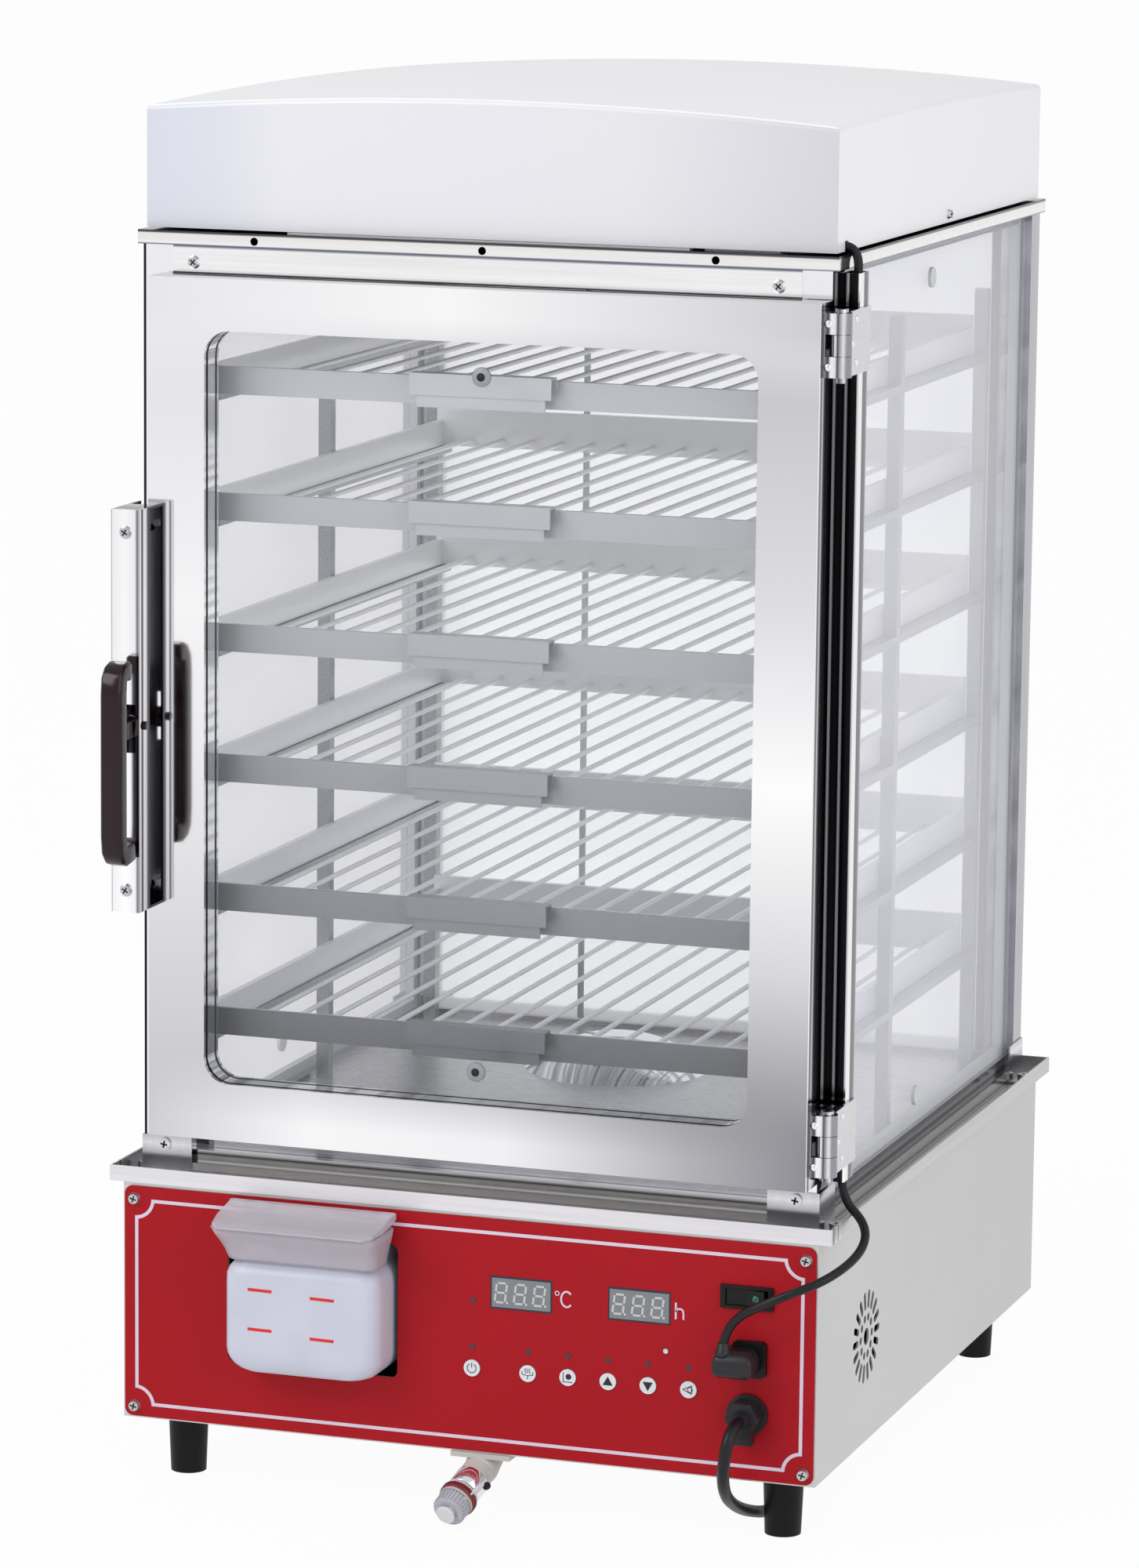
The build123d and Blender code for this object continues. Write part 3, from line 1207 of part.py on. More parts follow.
# Six rod trays, each with side rails, a raised rear rail and a front pull
for tray_index, tray_top in enumerate(TRAY_TOPS, 1):
    rail_z = (tray_top - TRAY_RAIL_H, tray_top)
    tray_y = (TRAY_FRONT, TRAY_FRONT + TRAY_D)
    with BuildPart() as tray:
        block((-TRAY_SIDE, TRAY_SIDE), tray_y, rail_z)
        block(
            (-TRAY_SIDE + TRAY_RAIL_T, TRAY_SIDE - TRAY_RAIL_T),
            (tray_y[0] + TRAY_RAIL_T, tray_y[1] - TRAY_RAIL_T),
            rail_z,
            mode=Mode.SUBTRACT,
        )
        block(
            (-TRAY_SIDE, TRAY_SIDE),
            (tray_y[1] - TRAY_RAIL_T, tray_y[1]),
            (tray_top, rail_z[0] + TRAY_REAR_H),
        )
        spacing = (TRAY_W - 2 * TRAY_RAIL_T) / (TRAY_RODS + 1)
        for i in range(TRAY_RODS):
            rod_x = -TRAY_SIDE + TRAY_RAIL_T + spacing * (i + 1)
            rod_z = tray_top - TRAY_ROD_DROP
            rod(
                (rod_x, tray_y[0] + TRAY_RAIL_T / 2, rod_z),
                (rod_x, tray_y[1] - TRAY_RAIL_T / 2, rod_z),
                TRAY_ROD_D,
            )
        pull_x = (TRAY_PULL_X - TRAY_PULL_W / 2, TRAY_PULL_X + TRAY_PULL_W / 2)
        face_top = tray_top + TRAY_PULL_UP
        block(pull_x, (TRAY_PULL_Y, TRAY_FRONT), (face_top - TRAY_PULL_T, face_top))
        block(pull_x, (TRAY_FRONT - TRAY_PULL_T, TRAY_FRONT), (tray_top - 4.0, face_top))
        block(
            pull_x, (TRAY_PULL_Y, TRAY_PULL_Y + TRAY_PULL_T), (face_top - TRAY_PULL_H, face_top)
        )
        lip_x = (pull_x[0] + 4.0, pull_x[1] - 4.0)
        block(
            lip_x,
            (TRAY_PULL_Y + TRAY_PULL_T, TRAY_PULL_Y + 2 * TRAY_PULL_T),
            (face_top - TRAY_PULL_H - TRAY_LIP_H, face_top - TRAY_PULL_T),
        )
    save(tray.part, f"tray_{tray_index}")


def window(y, depth, grow, mode=Mode.SUBTRACT):
    """Cut or add the door's rounded window, grown by a border, from a Y place backwards."""
    with BuildSketch(Plane.XZ.offset(-(y + depth))) as opening:
        with Locations((sum(WINDOW_X) / 2, sum(WINDOW_Z) / 2)):
            RectangleRounded(
                WINDOW_X[1] - WINDOW_X[0] + 2 * grow,
                WINDOW_Z[1] - WINDOW_Z[0] + 2 * grow,
                WINDOW_R + grow,
            )
    extrude(opening.sketch, amount=depth, mode=mode)


# Door: two pressed steel skins round a window, with the glass seats inside
with BuildPart() as door_frame:
    block((DOOR_LEFT, DOOR_RIGHT), (DOOR_FRONT, DOOR_REAR), (DOOR_BOTTOM, DOOR_TOP))
    block(
        (DOOR_LEFT + DOOR_WALL, DOOR_RIGHT - DOOR_WALL),
        (DOOR_FRONT + DOOR_WALL, DOOR_REAR - DOOR_WALL),
        (DOOR_BOTTOM + DOOR_WALL, DOOR_TOP - DOOR_WALL),
        mode=Mode.SUBTRACT,
    )
    window(DOOR_FRONT + DOOR_WALL, DOOR_T - 2 * DOOR_WALL, WINDOW_LIP + DOOR_WALL, mode=Mode.ADD)
    window(DOOR_FRONT, DOOR_T, 0.0)
    glass_front = DOOR_FRONT + DOOR_WALL + DOOR_GLASS_SET
    glass_back = DOOR_REAR - DOOR_WALL - DOOR_GLASS_SET
    window(glass_front, GLASS_T, WINDOW_LIP)
    window(glass_back - GLASS_T, GLASS_T, WINDOW_LIP)
    for z in HANDLE_SCREW_ZS:
        rod(
            (HANDLE_SCREW_X + 5.0, DOOR_FRONT, z), (HANDLE_SCREW_X + 5.0, DOOR_FRONT + DOOR_WALL, z),
            SCREW_SHANK_D,
            mode=Mode.SUBTRACT,
        )
save(door_frame.part, "door_frame")

# The door's two panes, with their round glazing buttons between them
with BuildPart() as door_glass:
    window(glass_front, GLASS_T, WINDOW_LIP, mode=Mode.ADD)
    window(glass_back - GLASS_T, GLASS_T, WINDOW_LIP, mode=Mode.ADD)
    for z in (WINDOW_Z[1] - DOOR_GROMMET_INSET, WINDOW_Z[0] + DOOR_GROMMET_INSET):
        rod(
            (DOOR_GROMMET_X, glass_front + GLASS_T, z),
            (DOOR_GROMMET_X, glass_back - GLASS_T, z),
            DOOR_GROMMET_D,
        )
save(door_glass.part, "door_glass")

# Soft gasket round the back of the door
with BuildPart() as door_gasket:
    gasket_x = (DOOR_LEFT + GASKET_IN, POST_IN_X - GASKET_IN)
    gasket_z = (DOOR_BOTTOM + GASKET_IN, DOOR_TOP - GASKET_IN)
    block(gasket_x, (DOOR_REAR, DOOR_REAR + GASKET_T), gasket_z)
    block(
        (gasket_x[0] + GASKET_W, gasket_x[1] - GASKET_W),
        (DOOR_REAR, DOOR_REAR + GASKET_T),
        (gasket_z[0] + GASKET_W, gasket_z[1] - GASKET_W),
        mode=Mode.SUBTRACT,
    )
save(door_gasket.part, "door_gasket")


def knuckle_spans(span):
    """Heights of the barrel's knuckles, from the top down, with a gap between neighbours."""
    step = (span[1] - span[0]) / KNUCKLES
    return [
        (span[1] - step * (i + 1) + MOVE_GAP / 2, span[1] - step * i - MOVE_GAP / 2)
        for i in range(KNUCKLES)
    ]


# Hinge leaves on the door's edge, with the outer knuckles
with BuildPart() as door_hinge_leaves:
    for span in (UPPER_HINGE_Z, LOWER_HINGE_Z):
        leaf_x = (DOOR_RIGHT, DOOR_RIGHT + LEAF_T)
        leaf_front = HINGE_Y - BARREL_D / 2
        spans = knuckle_spans(span)
        block(leaf_x, (leaf_front, leaf_front + DOOR_LEAF_D), span)
        for low, high in (spans[0], spans[2]):
            block((DOOR_RIGHT, HINGE_X), (leaf_front, leaf_front + 2 * LEAF_T), (low, high))
            rod((HINGE_X, HINGE_Y, low), (HINGE_X, HINGE_Y, high), BARREL_D)
        middle = (spans[1][0] - MOVE_GAP, spans[1][1] + MOVE_GAP)
        rod(
            (HINGE_X, HINGE_Y, middle[0]), (HINGE_X, HINGE_Y, middle[1]),
            BARREL_D + 2 * MOVE_GAP,
            mode=Mode.SUBTRACT,
        )
        rod(
            (HINGE_X, HINGE_Y, span[0]), (HINGE_X, HINGE_Y, span[1]),
            PIN_D + 2 * PIN_GAP,
            mode=Mode.SUBTRACT,
        )
save(door_hinge_leaves.part, "door_hinge_leaves")

# Hinge leaves on the post, with the middle knuckle and the pin
with BuildPart() as fixed_hinges:
    for span in (UPPER_HINGE_Z, LOWER_HINGE_Z):
        spans = knuckle_spans(span)
        low, high = spans[1]
        leaf_x = (DUCT_X + DUCT_W / 2, DUCT_X + DUCT_W / 2 + LEAF_T)
        block(leaf_x, (HINGE_Y + BARREL_D / 2 - 2.0, POST_LEAF_REAR), (low, high))
        block(
            leaf_x, (HINGE_Y + BARREL_D / 2 + 3.0, DUCT_Y + DUCT_D / 2), span
        )
        block(
            (FRAME_X, leaf_x[1]), (-FRAME_Y + 2.0, -FRAME_Y + 2.0 + 4 * LEAF_T), span
        )
        rod((HINGE_X, HINGE_Y, low), (HINGE_X, HINGE_Y, high), BARREL_D)
        rod(
            (HINGE_X, HINGE_Y, span[0] - PIN_END), (HINGE_X, HINGE_Y, span[1] + PIN_HEAD_H), PIN_D
        )
        rod(
            (HINGE_X, HINGE_Y, span[1] + MOVE_GAP), (HINGE_X, HINGE_Y, span[1] + PIN_HEAD_H),
            PIN_HEAD_D,
        )
save(fixed_hinges.part, "fixed_hinges")

# Folded handle bracket on the door's left edge
with BuildPart() as handle_bracket:
    front_skin = (HANDLE_FRONT, HANDLE_FRONT + HANDLE_T)
    block(HANDLE_X, front_skin, HANDLE_Z)
    block((HANDLE_X[0], HANDLE_X[0] + HANDLE_T), (HANDLE_FRONT, HANDLE_LEFT_REAR), HANDLE_Z)
    block(
        (HANDLE_X[1] - HANDLE_T, HANDLE_X[1]), (HANDLE_FRONT, HANDLE_FRONT + HANDLE_WEB), HANDLE_Z
    )
    for z in HANDLE_Z:
        inward = HANDLE_T if z == HANDLE_Z[0] else -HANDLE_T
        block(
            HANDLE_X, (HANDLE_FRONT, DOOR_FRONT), sorted((z, z + inward))
        )
    block(
        (LEVER_X - LEVER_NECK_W / 2 - 1.0, LEVER_X + LEVER_NECK_W / 2 + 1.0), front_skin, SLOT_Z,
        mode=Mode.SUBTRACT,
    )
    rod(
        (HANDLE_X[0], PIVOT_Y, PIVOT_Z), (HANDLE_X[0] + HANDLE_T, PIVOT_Y, PIVOT_Z),
        PIVOT_D + 2 * PIN_GAP,
        mode=Mode.SUBTRACT,
    )
    rod(
        (HANDLE_X[1] - HANDLE_T, PIVOT_Y, PIVOT_Z), (HANDLE_X[1], PIVOT_Y, PIVOT_Z),
        PIVOT_D + 2 * PIN_GAP,
        mode=Mode.SUBTRACT,
    )
    for z in HANDLE_SCREW_ZS:
        rod(
            (HANDLE_SCREW_X, HANDLE_FRONT, z), (HANDLE_SCREW_X, HANDLE_FRONT + HANDLE_T, z),
            SCREW_SHANK_D,
            mode=Mode.SUBTRACT,
        )
save(handle_bracket.part, "handle_bracket")

# Screws through the handle bracket into nuts behind its front skin
with BuildPart() as handle_screws:
    for z in HANDLE_SCREW_ZS:
        pan_screw(HANDLE_SCREW_X, HANDLE_FRONT, z, (0, -1, 0), SCREW_D, 8.0)
save(handle_screws.part, "handle_screws")

# Latch lever: a grip, its neck through the slot, the pivot and the latch arm
with BuildPart() as latch_lever:
    grip_back = LEVER_FRONT + LEVER_DEPTH
    with BuildSketch(Plane.YZ.offset(LEVER_X - LEVER_W / 2)) as grip_profile:
        with BuildLine():
            grip_line = Polyline(
                (LEVER_FRONT + 4.0, LEVER_Z[1]),
                (grip_back + 3.0, LEVER_Z[1] - 2.0),
                (grip_back, LEVER_Z[1] - 12.0),
                (grip_back, LEVER_Z[0] + 12.0),
                (grip_back + 3.0, LEVER_Z[0] + 2.0),
                (LEVER_FRONT + 4.0, LEVER_Z[0]),
            )
            ThreePointArc(
                grip_line @ 1, (LEVER_FRONT, sum(LEVER_Z) / 2), grip_line @ 0
            )
        make_face()
    extrude(grip_profile.sketch, amount=LEVER_W)
    block(
        (LEVER_X - LEVER_NECK_W / 2, LEVER_X + LEVER_NECK_W / 2),
        (grip_back - 3.0, PIVOT_Y + 4.0),
        (PIVOT_Z - 6.0, PIVOT_Z + 4.0),
    )
    rod(
        (LEVER_X - LEVER_NECK_W / 2, PIVOT_Y, PIVOT_Z),
        (LEVER_X + LEVER_NECK_W / 2, PIVOT_Y, PIVOT_Z),
        12.0,
    )
    rod(
        (HANDLE_X[0] - 1.0, PIVOT_Y, PIVOT_Z), (HANDLE_X[1] + 1.5, PIVOT_Y, PIVOT_Z), PIVOT_D
    )
    block(
        (LEVER_X - LEVER_NECK_W / 2, LEVER_X - LEVER_NECK_W / 2 + ARM_T),
        (PIVOT_Y, -FRAME_Y - STRIKER_T - KEEPER_GAP),
        (PIVOT_Z - ARM_H / 2, PIVOT_Z + ARM_H / 2),
    )
save(latch_lever.part, "latch_lever")

# Keeper for the latch, on the front left post beside the door
with BuildPart() as latch_striker:
    striker_x = (-FRAME_X, DOOR_LEFT - 3.0)
    block(striker_x, (-FRAME_Y - STRIKER_T, -FRAME_Y), STRIKER_Z)
save(latch_striker.part, "latch_striker")

# Lamp cable, from the lamp's holder through the duct to its plug at the front
corner_x = TRIM_W / 2 - 2.1 + 6.0
lamp_points = [
    (LAMP_HOLDER_X + LAMP_HOLDER[0] / 2, cable_y, cable_z),
    (corner_x, cable_y, cable_z),
    (corner_x, cable_y, BASE_TOP + 18.0),
    (RIM_W / 2 + 10.0, cable_y - 4.5, BASE_TOP + 4.0),
    (RIM_W / 2 + 12.0, PANEL_FACE + 19.0, BASE_TOP - 8.0),
    (RIM_W / 2, PANEL_FACE - 11.0, BASE_TOP - 18.0),
    (PANEL_W / 2 - 17.0, PANEL_FACE - 22.0, BASE_TOP - 28.0),
    (CABLE_END[0], CABLE_END[1], CABLE_END[2] + 16.3),
    CABLE_END,
]
lamp_radii = fillet_radii(lamp_points)
lamp_radii[0] = 6.0
print("lamp cable bend radii", [round(r, 1) for r in lamp_radii])
lamp_tube, lamp_length = tube_along(lamp_points, lamp_radii, LAMP_CABLE_D)
print("lamp cable length", round(lamp_length, 1), "volume", round(lamp_tube.volume, 1))
print("section times length", round(pi * LAMP_CABLE_D**2 / 4 * lamp_length, 1))
save(lamp_tube, "lamp_cable")


def biarc(start, start_way, end, end_way):
    """Two tangent arcs between two points that leave and arrive along the given ways."""
    span = end - start
    ways = start_way + end_way
    denominator = 2 * (1 - start_way.dot(end_way))
    reach = span.dot(ways)
    d = (-reach + (reach**2 + denominator * span.dot(span)) ** 0.5) / denominator
    joint = (start + end + (start_way - end_way) * d) / 2
    TangentArc(start, joint, tangent=start_way)
    TangentArc(end, joint, tangent=-end_way)
    return joint


def coil_place(turn, turns):
    """Point and way on the put-away coil: in on the floor, then out on the layer above."""
    middle = turns / 2
    angle = 2 * pi * turn
    inner = COIL_MEAN_D / 2 - COIL_PITCH * middle / 2
    if turn <= middle - 0.25:
        radius = inner + COIL_PITCH * (middle - turn)
        growth = -COIL_PITCH / (2 * pi)
        height = MAINS_LOW
        climb = 0.0
    elif turn >= middle + 0.25:
        radius = inner + COIL_PITCH * (turn - middle)
        growth = COIL_PITCH / (2 * pi)
        height = MAINS_LOW + COIL_LIFT
        climb = 0.0
    else:
        radius = inner + COIL_PITCH * 0.15
        growth = 0.0
        height = MAINS_LOW + COIL_LIFT / 2
        climb = COIL_LIFT * 1.5 / pi
    way = Vector(
        -sin(angle) * radius + growth * cos(angle), cos(angle) * radius + growth * sin(angle), climb
    )
    place = Vector(COIL_X + cos(angle) * radius, COIL_Y + sin(angle) * radius, height)
    return place, way.normalized()


# Mains cord: out of the gland, down, back under the base behind the foot, and out at the rear
mains_points = [
    (GLAND_X, GLAND_END, GLAND_Z),
    (GLAND_X, GLAND_END - 18.0, GLAND_Z),
    (FOOT_X - 17.0, GLAND_END - 16.0, BASE_BOTTOM + 4.0),
    (FOOT_X - 20.5, GLAND_END + 30.0, BASE_BOTTOM - 21.0),
    (FOOT_X - 12.5, GLAND_END + 76.0, MAINS_LOW),
    (FOOT_X - 24.0, -130.0, MAINS_LOW),
    (135.0, -60.0, MAINS_LOW),
    (128.0, 20.0, MAINS_LOW),
    (133.0, 100.0, MAINS_LOW),
    (148.0, 180.0, MAINS_LOW),
]
COIL_TURNS = 3.5
coil_start, coil_way = coil_place(0.0, COIL_TURNS)
mains_points.append((coil_start.X - coil_way.X * 62.0, coil_start.Y - coil_way.Y * 62.0, MAINS_LOW))
mains_points.append((coil_start.X, coil_start.Y, MAINS_LOW))
mains_radii = fillet_radii(mains_points, first_share=0.9)
print("mains cord bend radii", [round(r, 1) for r in mains_radii])
mains_tube, mains_run = tube_along(mains_points, mains_radii, MAINS_D)
print("mains cord run", round(mains_run, 1), "volume", round(mains_tube.volume, 1))
print("section times length", round(pi * MAINS_D**2 / 4 * mains_run, 1))
save(mains_tube, "mains_cord")

# The put-away coil behind the cabinet, one tube in two layers
with BuildPart() as mains_cord_coil:
    with BuildLine() as coil_path:
        quarters = int(COIL_TURNS * 4)
        places = [coil_place(i / 4, COIL_TURNS) for i in range(quarters + 1)]
        for (here, here_way), (there, there_way) in zip(places, places[1:]):
            biarc(here, here_way, there, there_way)
        plug_start = places[-1][0] + places[-1][1] * PLUG_LEAD
        Line(places[-1][0], plug_start)
    with BuildSketch(Plane(origin=places[0][0], z_dir=places[0][1])):
        Circle(MAINS_D / 2)
    sweep(path=coil_path.line)
coil_wire = coil_path.wires()[0]
coil_length = coil_wire.length
print("coil length", round(coil_length, 1), "volume", round(mains_cord_coil.part.volume, 1))
print("section times length", round(pi * MAINS_D**2 / 4 * coil_length, 1))
print("mains cord in all", round(mains_run + coil_length, 1), "of", MAINS_LENGTH)
samples = [coil_wire @ (i / 600) for i in range(601)]
far = int(600 * 0.6 * pi * COIL_MEAN_D / coil_length)
least = min(
    (a - b).length for i, a in enumerate(samples) for b in samples[i + far :]
)
print("least gap of the coil to itself", round(least - MAINS_D, 2))
save(mains_cord_coil.part, "mains_cord_coil")

# Moulded mains plug with three flat pins
plug_way = places[-1][1]
plug_plane = Plane(origin=plug_start, x_dir=(0, 0, 1), z_dir=plug_way)
plug_middle = Plane(origin=plug_start + plug_way * PLUG_L / 2, x_dir=(0, 0, 1), z_dir=plug_way)
plug_face = Plane(origin=plug_start + plug_way * PLUG_L, x_dir=(0, 0, 1), z_dir=plug_way)
with BuildPart() as mains_plug:
    with BuildSketch(plug_plane) as plug_neck:
        RectangleRounded(PLUG_H * 0.5, PLUG_W * 0.5, 2.0)
    with BuildSketch(plug_middle):
        RectangleRounded(PLUG_H, PLUG_W, 5.0)
    loft()
    with BuildSketch(plug_middle) as body:
        RectangleRounded(PLUG_H, PLUG_W, 5.0)
    extrude(body.sketch, amount=PLUG_L / 2)
    with BuildSketch(plug_face) as pins:
        with Locations((-4.0, 0)):
            Rectangle(PIN_BLADE[1], PIN_BLADE[2])
        with Locations((4.0, -6.5)):
            Rectangle(PIN_BLADE[1], PIN_BLADE[2], rotation=-60)
        with Locations((4.0, 6.5)):
            Rectangle(PIN_BLADE[1], PIN_BLADE[2], rotation=60)
    extrude(pins.sketch, amount=PIN_BLADE[0])
save(mains_plug.part, "mains_plug")
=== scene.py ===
"""Dresses the steam warming cabinet: finishes on the fixed frame, printed marks, cords and the studio."""

import math
from functools import partialmethod

import bmesh
import bpy
from mathutils import Matrix, Vector


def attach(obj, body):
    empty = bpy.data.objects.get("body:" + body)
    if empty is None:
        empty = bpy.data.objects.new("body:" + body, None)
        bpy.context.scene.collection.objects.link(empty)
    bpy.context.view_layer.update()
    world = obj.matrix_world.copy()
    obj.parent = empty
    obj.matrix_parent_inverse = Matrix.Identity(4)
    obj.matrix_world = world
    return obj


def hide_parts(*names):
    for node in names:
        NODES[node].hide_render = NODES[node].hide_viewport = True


bl_info = {
    "name": "Steam Warming Cabinet",
    "version": (1, 0, 0),
    "blender": (4, 5, 0),
    "location": "View3D > Sidebar > Cabinet",
    "description": "Finishes, cords and studio for a glazed steam warming cabinet",
    "category": "Object",
}

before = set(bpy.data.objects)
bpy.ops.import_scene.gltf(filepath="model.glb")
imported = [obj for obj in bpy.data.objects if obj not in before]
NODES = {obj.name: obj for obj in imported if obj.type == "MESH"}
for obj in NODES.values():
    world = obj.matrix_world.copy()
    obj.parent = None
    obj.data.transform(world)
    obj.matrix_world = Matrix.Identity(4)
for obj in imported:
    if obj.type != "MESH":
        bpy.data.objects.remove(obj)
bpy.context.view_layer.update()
MM = 0.001
SQUARE = ((-1, -1), (1, -1), (1, 1), (-1, 1))
# The least cosine at a corner of a printed line, which keeps a sharp corner short
SHARPEST = 0.3


def mm(*values):
    """Millimetres as a vector in metres."""
    return Vector([value * MM for value in values])


# Shader expressions


class Link:
    """A node's output, on which arithmetic adds Math nodes."""

    def __init__(self, paint, value):
        self.paint = paint
        self.value = value

    def math(self, operation, other, clamp=False):
        """A Math node that joins this value and another."""
        settings = {"operation": operation, "use_clamp": clamp}
        return self.paint.node("ShaderNodeMath", settings, {0: self, 1: other})

    __add__ = partialmethod(math, "ADD")
    __sub__ = partialmethod(math, "SUBTRACT")
    __mul__ = partialmethod(math, "MULTIPLY")
    __gt__ = partialmethod(math, "GREATER_THAN")
    __lt__ = partialmethod(math, "LESS_THAN")

    def bounded(self):
        """The value held between 0 and 1."""
        return self.math("ADD", 0.0, True)


class Paint:
    """A material under construction, with short calls for its nodes."""

    def __init__(self, name, **uniform):
        self.material = bpy.data.materials.new(name)
        self.material.use_nodes = True
        self.tree = self.material.node_tree
        self.tree.nodes.clear()
        self.output = self.tree.nodes.new("ShaderNodeOutputMaterial")
        self.shader = self.tree.nodes.new("ShaderNodeBsdfPrincipled")
        self.tree.links.new(self.shader.outputs[0], self.output.inputs[0])
        self.surface(**uniform)
        coordinates = self.tree.nodes.new("ShaderNodeTexCoord")
        self.place = Link(self, coordinates.outputs["Object"])
        split = self.tree.nodes.new("ShaderNodeSeparateXYZ")
        self.put(split.inputs[0], self.place)
        self.x, self.y, self.z = (Link(self, output) for output in split.outputs)

    def put(self, socket, value):
        """Set a socket to a value or a display colour, or link it."""
        if isinstance(value, Link):
            self.tree.links.new(value.value, socket)
        else:
            socket.default_value = rgb(value) if isinstance(value, str) else value

    def node(self, kind, settings, values, output=0):
        """Any node: its type, its settings, and the values or links of its sockets."""
        made = self.tree.nodes.new(kind)
        for name, setting in settings.items():
            setattr(made, name, setting)
        for socket, value in values.items():
            self.put(made.inputs[socket], value)
        return Link(self, made.outputs[output])

    def noise(self, scale, detail=3.0, roughness=0.5, stretch=(1, 1, 1)):
        """Fractal noise from 0 to 1, stretched along the axes."""
        place = self.node("ShaderNodeMapping", {}, {"Vector": self.place, "Scale": stretch})
        values = {"Vector": place, "Scale": scale, "Detail": detail, "Roughness": roughness}
        return self.node("ShaderNodeTexNoise", {}, values)

    def ramp(self, factor, text):
        """A colour ramp through stops, each a percentage and a colour."""
        link = self.node("ShaderNodeValToRGB", {}, {0: factor})
        elements = link.value.node.color_ramp.elements
        stops = [stop.split() for stop in text.split(", ")]
        for _ in stops[len(elements) :]:
            elements.new(1.0)
        for element, (position, colour) in zip(elements, stops):
            element.position = int(position) / 100
            element.color = rgb(colour)
        return link

    def mix(self, factor, one, other, blend="MIX"):
        """One colour blended into another."""
        settings = {"data_type": "RGBA", "blend_type": blend}
        return self.node("ShaderNodeMix", settings, {0: factor, 6: one, 7: other}, output=2)

    def spread(self, factor, low, high):
        """A value that runs from low to high as the factor runs from 0 to 1."""
        return self.node("ShaderNodeMapRange", {}, {0: factor, 3: low, 4: high})

    def bump(self, height, strength):
        """Surface relief from a height."""
        values = {"Strength": strength, "Distance": 0.2 * MM, "Height": height}
        self.surface(Normal=self.node("ShaderNodeBump", {}, values))

    def surface(self, **sockets):
        """Link or set the surface's own sockets, their names written with underscores."""
        for name, value in sockets.items():
            self.put(self.shader.inputs[name.replace("_", " ")], value)

    def blend(self, factor, other):
        """Blend the surface into another shader, by a factor."""
        values = {0: factor, 1: Link(self, self.shader.outputs[0]), 2: other}
        self.put(self.output.inputs[0], self.node("ShaderNodeMixShader", {}, values))

    def done(self, colour, tone, low, high):
        """Set the colour, and a roughness that runs from low to high with a tone."""
        self.surface(Base_Color=colour, Roughness=self.spread(tone, low, high))
        return self.material

    def through(self, factor):
        """Let light straight through, by a factor."""
        self.blend(factor, self.node("ShaderNodeBsdfTransparent", {}, {0: (1, 1, 1, 1)}))


def rgb(hexadecimal):
    """A display colour as the linear colour that renders the same."""
    channels = [int(hexadecimal[i : i + 2], 16) / 255 for i in (0, 2, 4)]
    linear = [c / 12.92 if c <= 0.04045 else ((c + 0.055) / 1.055) ** 2.4 for c in channels]
    return (*linear, 1.0)


def along(value, start, end):
    """Where a value lies between two millimetre places, as 0 to 1."""
    return ((value - start * MM) * (1.0 / ((end - start) * MM))).bounded()


def paint_polished(name, colour, roughness):
    """Mirror-polished stainless steel with faint polishing haze."""
    paint = Paint(name, Metallic=1.0)
    haze = paint.noise(9.0, 4.0, 0.6)
    return paint.done(paint.mix(haze, colour, "E6E6EA"), haze, roughness * 0.6, roughness * 1.9)


def paint_brushed(name, colour, dark, grain, roughness):
    """Brushed stainless sheet, its grain long on the axis with the smallest factor."""
    paint = Paint(name, Metallic=0.85)
    fine = paint.noise(900.0, 2.0, 0.6, grain)
    tone = (fine * 0.5 + paint.noise(7.0) * 0.5).bounded()
    paint.bump(fine, 0.10)
    return paint.done(paint.mix(tone, dark, colour), fine, roughness * 0.75, roughness * 1.25)


def paint_enamel(name, colour, shade, roughness, relief, coat=0.0, gloss=0.5):
    """Baked paint with a faint orange peel and uneven tone."""
    paint = Paint(name, Coat_Weight=coat, Coat_Roughness=0.12, Specular_IOR_Level=gloss)
    cloud = paint.noise(6.0)
    paint.bump(paint.noise(420.0, 2.0), relief)
    return paint.done(paint.mix(cloud, colour, shade), cloud, roughness * 0.85, roughness * 1.15)


def paint_moulded(name, colour, shade, roughness, relief=0.12, scale=700.0, gloss=0.5):
    """Moulded rubber or plastic with a fine skin."""
    paint = Paint(name, Specular_IOR_Level=gloss)
    cloud = paint.noise(25.0)
    paint.bump(paint.noise(scale), relief)
    return paint.done(paint.mix(cloud, colour, shade), cloud, roughness * 0.85, roughness * 1.2)


def paint_glass(name, tint, clearness, haze, unevenness, glow=0.0, glow_to=1000.0):
    """Window glass: mostly clear, with a pale veil as a painted sheen, and a painted glow on the faces in
    front of a depth.
    """
    paint = Paint(name, Roughness=haze, Emission_Strength=glow)
    smear = paint.noise(5.0, 3.0, 0.6)
    veil = paint.mix(smear, tint, "FFFFFF")
    # Painted glow: faces in front of the depth give off the veil's colour, as if lit from behind
    inside = paint.y < glow_to * MM
    paint.surface(Base_Color=veil, Emission_Color=paint.mix(inside, "000000", veil))
    paint.through(paint.spread(smear, clearness - unevenness, clearness + unevenness))
    return paint.material


